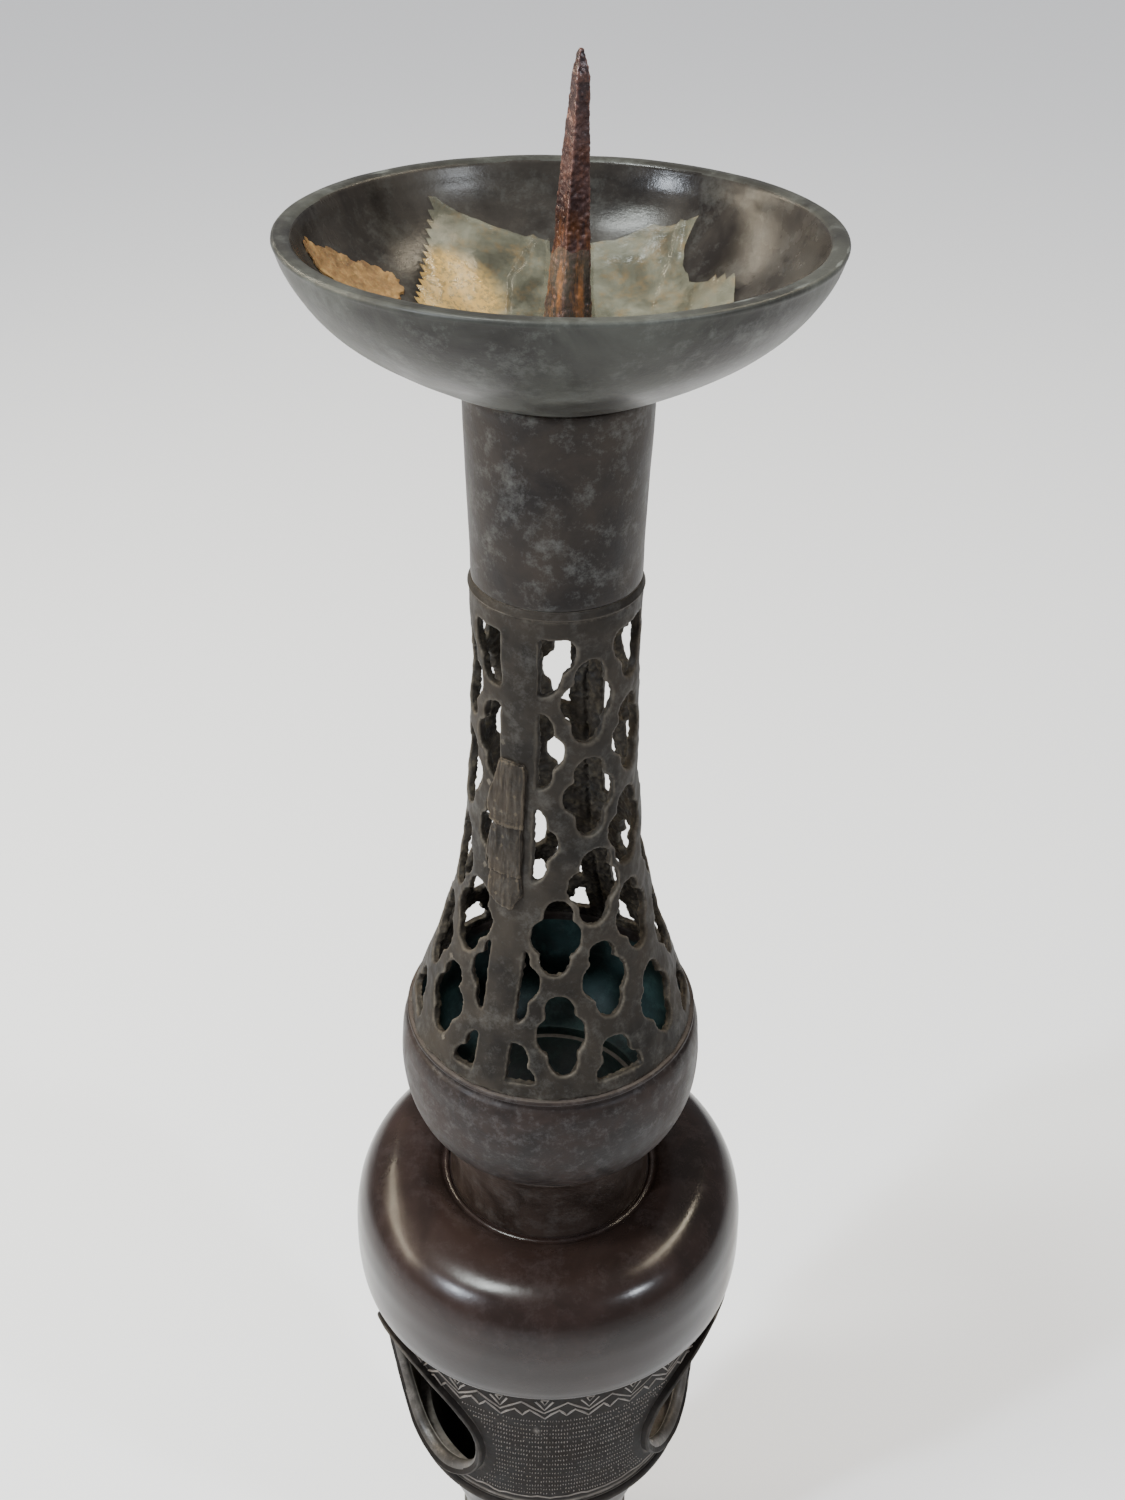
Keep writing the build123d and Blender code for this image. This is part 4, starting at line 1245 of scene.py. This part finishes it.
# two torn pieces of clear tape, plan outlines in millimetres; one edge of each has the cutter's teeth
tape = {
    "thick": 0.16 * mm, "tooth": 2.0, "toothDepth": 1.35, "cell": 0.6, "above": 0.45,
    "leftTeeth": ((-28.6, 42.2), (-31.8, -4.0)),
    "leftInner": ((-31.8, -4.0), (-18.0, -5.0), (-8.6, -4.6), (-7.4, 5.0), (-5.5, 9.4), (-0.8, 10.2),
                  (-0.8, 30.0)),
    "leftTop": ((-0.8, 30.0), (-3.0, 42.4), (-12.0, 43.0), (-19.0, 43.0), (-28.6, 42.2)),
    "rightInner": ((8.4, -4.6), (9.6, 4.0), (8.0, 9.4), (0.8, 10.2), (0.8, 30.0), (2.0, 42.0), (12.0, 41.9)),
    "rightTorn": ((12.0, 41.9), (20.0, 41.4), (30.3, 38.0), (27.6, 34.0), (27.0, 30.0), (28.4, 25.0),
                  (32.0, 21.4)),
    "rightTeeth": ((32.0, 21.4), (37.6, 17.0)),
    "rightFront": ((37.6, 17.0), (36.5, 6.0), (34.0, -4.8), (20.0, -5.2), (8.4, -4.6)),
}


def toothed(start, end, outward):
    count = max(2, int(math.hypot(end[0] - start[0], end[1] - start[1]) / tape["tooth"]))
    edge = []
    for step in range(count):
        for share, out in ((0.0, 0.0), (0.5, 1.0)):
            part = (step + share) / count
            reach = out * tape["toothDepth"] * random.uniform(0.75, 1.15)
            edge.append((start[0] + (end[0] - start[0]) * part + outward[0] * reach,
                         start[1] + (end[1] - start[1]) * part + outward[1] * reach))
    return edge


def tornEdge(points, jag, seed):
    edge = []
    for (x1, y1), (x2, y2) in zip(points, points[1:]):
        count = max(2, int(math.hypot(x2 - x1, y2 - y1) / 0.9))
        for step in range(count):
            x, y = x1 + (x2 - x1) * step / count, y1 + (y2 - y1) * step / count
            shake = jag * noise.noise(Vector((x * 0.7, y * 0.7, seed)))
            edge.append((x + shake, y + shake * 0.6))
    return edge


def crumple(x, y, seed):
    fold = noise.ridged_multi_fractal(Vector((x * 0.055, y * 0.075, seed)), 0.9, 2.1, 3, 1.0, 2.0)
    return 0.35 * fold + 0.25 * noise.noise(Vector((x * 0.35, y * 0.35, seed)))


def makeTapes():
    left = toothed(*tape["leftTeeth"], (-1, 0.05))
    left += tornEdge(tape["leftInner"], 0.2, 1.0) + tornEdge(tape["leftTop"], 0.25, 2.0)
    right = tornEdge(tape["rightInner"], 0.2, 3.0) + tornEdge(tape["rightTorn"], 0.4, 4.0)
    right += toothed(*tape["rightTeeth"], (0.6, 0.8)) + tornEdge(tape["rightFront"], 0.3, 5.0)

    def near(distance, reach):
        return math.exp(-(distance / reach) ** 2)

    def liftLeft(x, y):
        curl = 1.5 * max(0.0, (-x - 25.0) / 7.0) ** 2 * near(y - 26, 14)
        blister = 1.3 * near(x + 24.8, 4.0) * near(y - 29, 5.0)
        tent = 1.6 * near(math.hypot(x, y) - 9, 4.0)
        crease = 1.0 * near(x + 12.5 - 0.55 * max(0.0, y - 32), 1.0)
        return tape["above"] + max(0.0, crumple(x, y, 3.0)) + curl + blister + tent + crease

    def liftRight(x, y):
        curl = 1.5 * near(math.hypot(x - 30, y - 36), 5.0) + 1.2 * near(math.hypot(x - 35, y - 20), 5.0)
        hump = 1.2 * near(math.hypot(x - 20.4, y - 40), 4.0)
        tent = 1.4 * near(math.hypot(x, y) - 9, 4.0)
        crease = 0.8 * near(x - 15.0 - 0.3 * y, 0.9)
        return tape["above"] + max(0.0, crumple(x, y, 8.0)) + curl + hump + tent + crease

    for name, plan, rise, node in (("tapeLeft", left, liftLeft, "tape_left"),
                                   ("tapeRight", right, liftRight, "tape_right")):
        sheet = layInPan(name, plan, tape["cell"], tape["thick"], rise)
        dress(sheet, "pan_unit", "old_tape", tapeFinish, node)


# tape wound round the foot of the spike, flaring at the bottom, with a lapped edge
wrap = {"height": 25.2 * mm, "topSide": 4.4 * mm, "footSide": 7.4 * mm, "thick": 0.18 * mm, "turns": 1.12}


def makeWrap():
    steps, levelsUp = 84, 22
    low = floorLevel + 0.6 * mm
    deselectAll()
    bpy.ops.mesh.primitive_grid_add(x_subdivisions=steps, y_subdivisions=levelsUp, size=1)
    sheet = bpy.context.object
    sheet.name = "tapeWrap"
    for vertex in sheet.data.vertices:
        around, up = vertex.co.x + 0.5, vertex.co.y + 0.5
        angle = around * wrap["turns"] * 2 * math.pi
        ragged = 1 + 0.10 * noise.noise(Vector((around * 9, 0, 3))) * up - 0.16 * (around > 0.8) * up
        height = low + wrap["height"] * up * ragged
        flare = (1 - up) ** 2.2
        half = wrap["topSide"] + (wrap["footSide"] - wrap["topSide"]) * flare + 0.35 * mm * around
        square = half * (1 + 0.10 * math.cos(4 * (angle - math.radians(spike["turn"] + 45))))
        square += 0.45 * mm * noise.noise(Vector((math.cos(angle) * 1.6, math.sin(angle) * 1.6, up * 2.2)))
        vertex.co = Vector((spikeMiddle(height) + square * math.cos(angle), square * math.sin(angle), height))
    applyModifier(sheet, "SOLIDIFY", thickness=wrap["thick"], offset=0)
    makeActive(sheet)
    bpy.ops.object.shade_smooth_by_angle(angle=math.radians(50))
    dress(sheet, "pan_unit", "old_tape", wrapFinish, "tape_wrap")


makeSpike()
makeWax()
makeTapes()
makeWrap()
print("spike, tape and wax ready")


# nodes that stay as the frame has them get a finish of their own
def finishKept():
    for node, material in (("pan_spigot", bronze["tube"]), ("pricket_burr", ironFinish)):
        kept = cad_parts[node]
        kept.data.materials.clear()
        kept.data.materials.append(material)


finishKept()


view = {"side": 2.03 * mm, "back": 320.0 * mm, "above": 90.1 * mm, "pitch": 34.22, "roll": 0.9485,
        "lens": 37.64}


def setStage():
    pitch, roll = math.radians(view["pitch"]), math.radians(view["roll"])
    forward = Vector((0, math.cos(pitch), -math.sin(pitch)))
    level = Vector((1, 0, 0))
    upward = level.cross(forward)
    right = math.cos(roll) * level + math.sin(roll) * upward
    top = -math.sin(roll) * level + math.cos(roll) * upward
    spot = Vector((view["side"], -view["back"], levels["rim"] + view["above"]))
    deselectAll()
    bpy.ops.object.camera_add(location=spot)
    camera = bpy.context.object
    turn = Matrix((right, top, -forward)).transposed().to_4x4()
    camera.matrix_world = Matrix.Translation(spot) @ turn
    camera.data.sensor_width = 36
    camera.data.sensor_fit = "AUTO"
    camera.data.lens = view["lens"]
    camera.data.clip_start = 0.01
    bpy.context.scene.camera = camera

    bpy.ops.mesh.primitive_plane_add(size=12, location=(0, 0, 0))
    floor = bpy.context.object
    floor.name = "floor"
    material, shader = newMaterial("paleFloor")[::2]
    shader.inputs["Base Color"].default_value = (0.72, 0.72, 0.73, 1)
    shader.inputs["Roughness"].default_value = 0.85
    shader.inputs["Specular IOR Level"].default_value = 0.1
    floor.data.materials.append(material)

    world = bpy.data.worlds.new("studio")
    bpy.context.scene.world = world
    world.use_nodes = True
    world.node_tree.nodes["Background"].inputs["Color"].default_value = (0.93, 0.95, 1.0, 1)
    world.node_tree.nodes["Background"].inputs["Strength"].default_value = 0.35


# each lamp: one end and the other of its strip, width, power, tint
lights = {
    "coolLeft": ((-1.16, -0.85, 1.10), (-1.04, -0.85, 1.24), 0.09, 26.0, (0.80, 0.89, 1.0)),
    "coolRight": ((1.08, -0.85, 1.24), (1.24, -0.85, 1.42), 0.09, 30.0, (0.85, 0.92, 1.0)),
    "overhead": ((-0.74, -0.36, 1.75), (-0.34, -0.26, 1.75), 0.12, 27.0, (0.90, 0.97, 0.95)),
    "warmLeft": ((-0.80, 1.00, 1.32), (-0.80, -0.20, 0.58), 0.040, 15.0, (1.0, 0.88, 0.66)),
    "warmRight": ((0.80, 0.80, 1.55), (0.80, 0.05, 1.71), 0.040, 11.0, (1.0, 0.88, 0.66)),
}
daylight = {"energy": 2.5, "spread": 40.0, "tilt": (-14.0, -10.0)}


def addLights():
    aim = Vector((0, 0, 0.30))
    for name, (start, end, width, power, tint) in lights.items():
        start, end = Vector(start), Vector(end)
        middle = (start + end) / 2
        deselectAll()
        bpy.ops.object.light_add(type="AREA", location=middle)
        lamp = bpy.context.object
        lamp.name = name
        lamp.data.shape = "RECTANGLE"
        lamp.data.size = width
        lamp.data.size_y = (end - start).length
        lamp.data.energy = power
        lamp.data.color = tint
        along = (end - start).normalized()
        away = (middle - aim).normalized()
        across = along.cross(away).normalized()
        away = across.cross(along)
        lamp.matrix_world = Matrix.Translation(middle) @ Matrix((across, along, away)).transposed().to_4x4()
    deselectAll()
    bpy.ops.object.light_add(type="SUN", location=(0, 0, 3))
    sun = bpy.context.object
    sun.name = "daylight"
    sun.data.energy = daylight["energy"]
    sun.data.angle = math.radians(daylight["spread"])
    sun.rotation_euler = [math.radians(tilt) for tilt in daylight["tilt"]] + [0]
    sun.visible_glossy = False


setStage()
addLights()
print("stage ready")
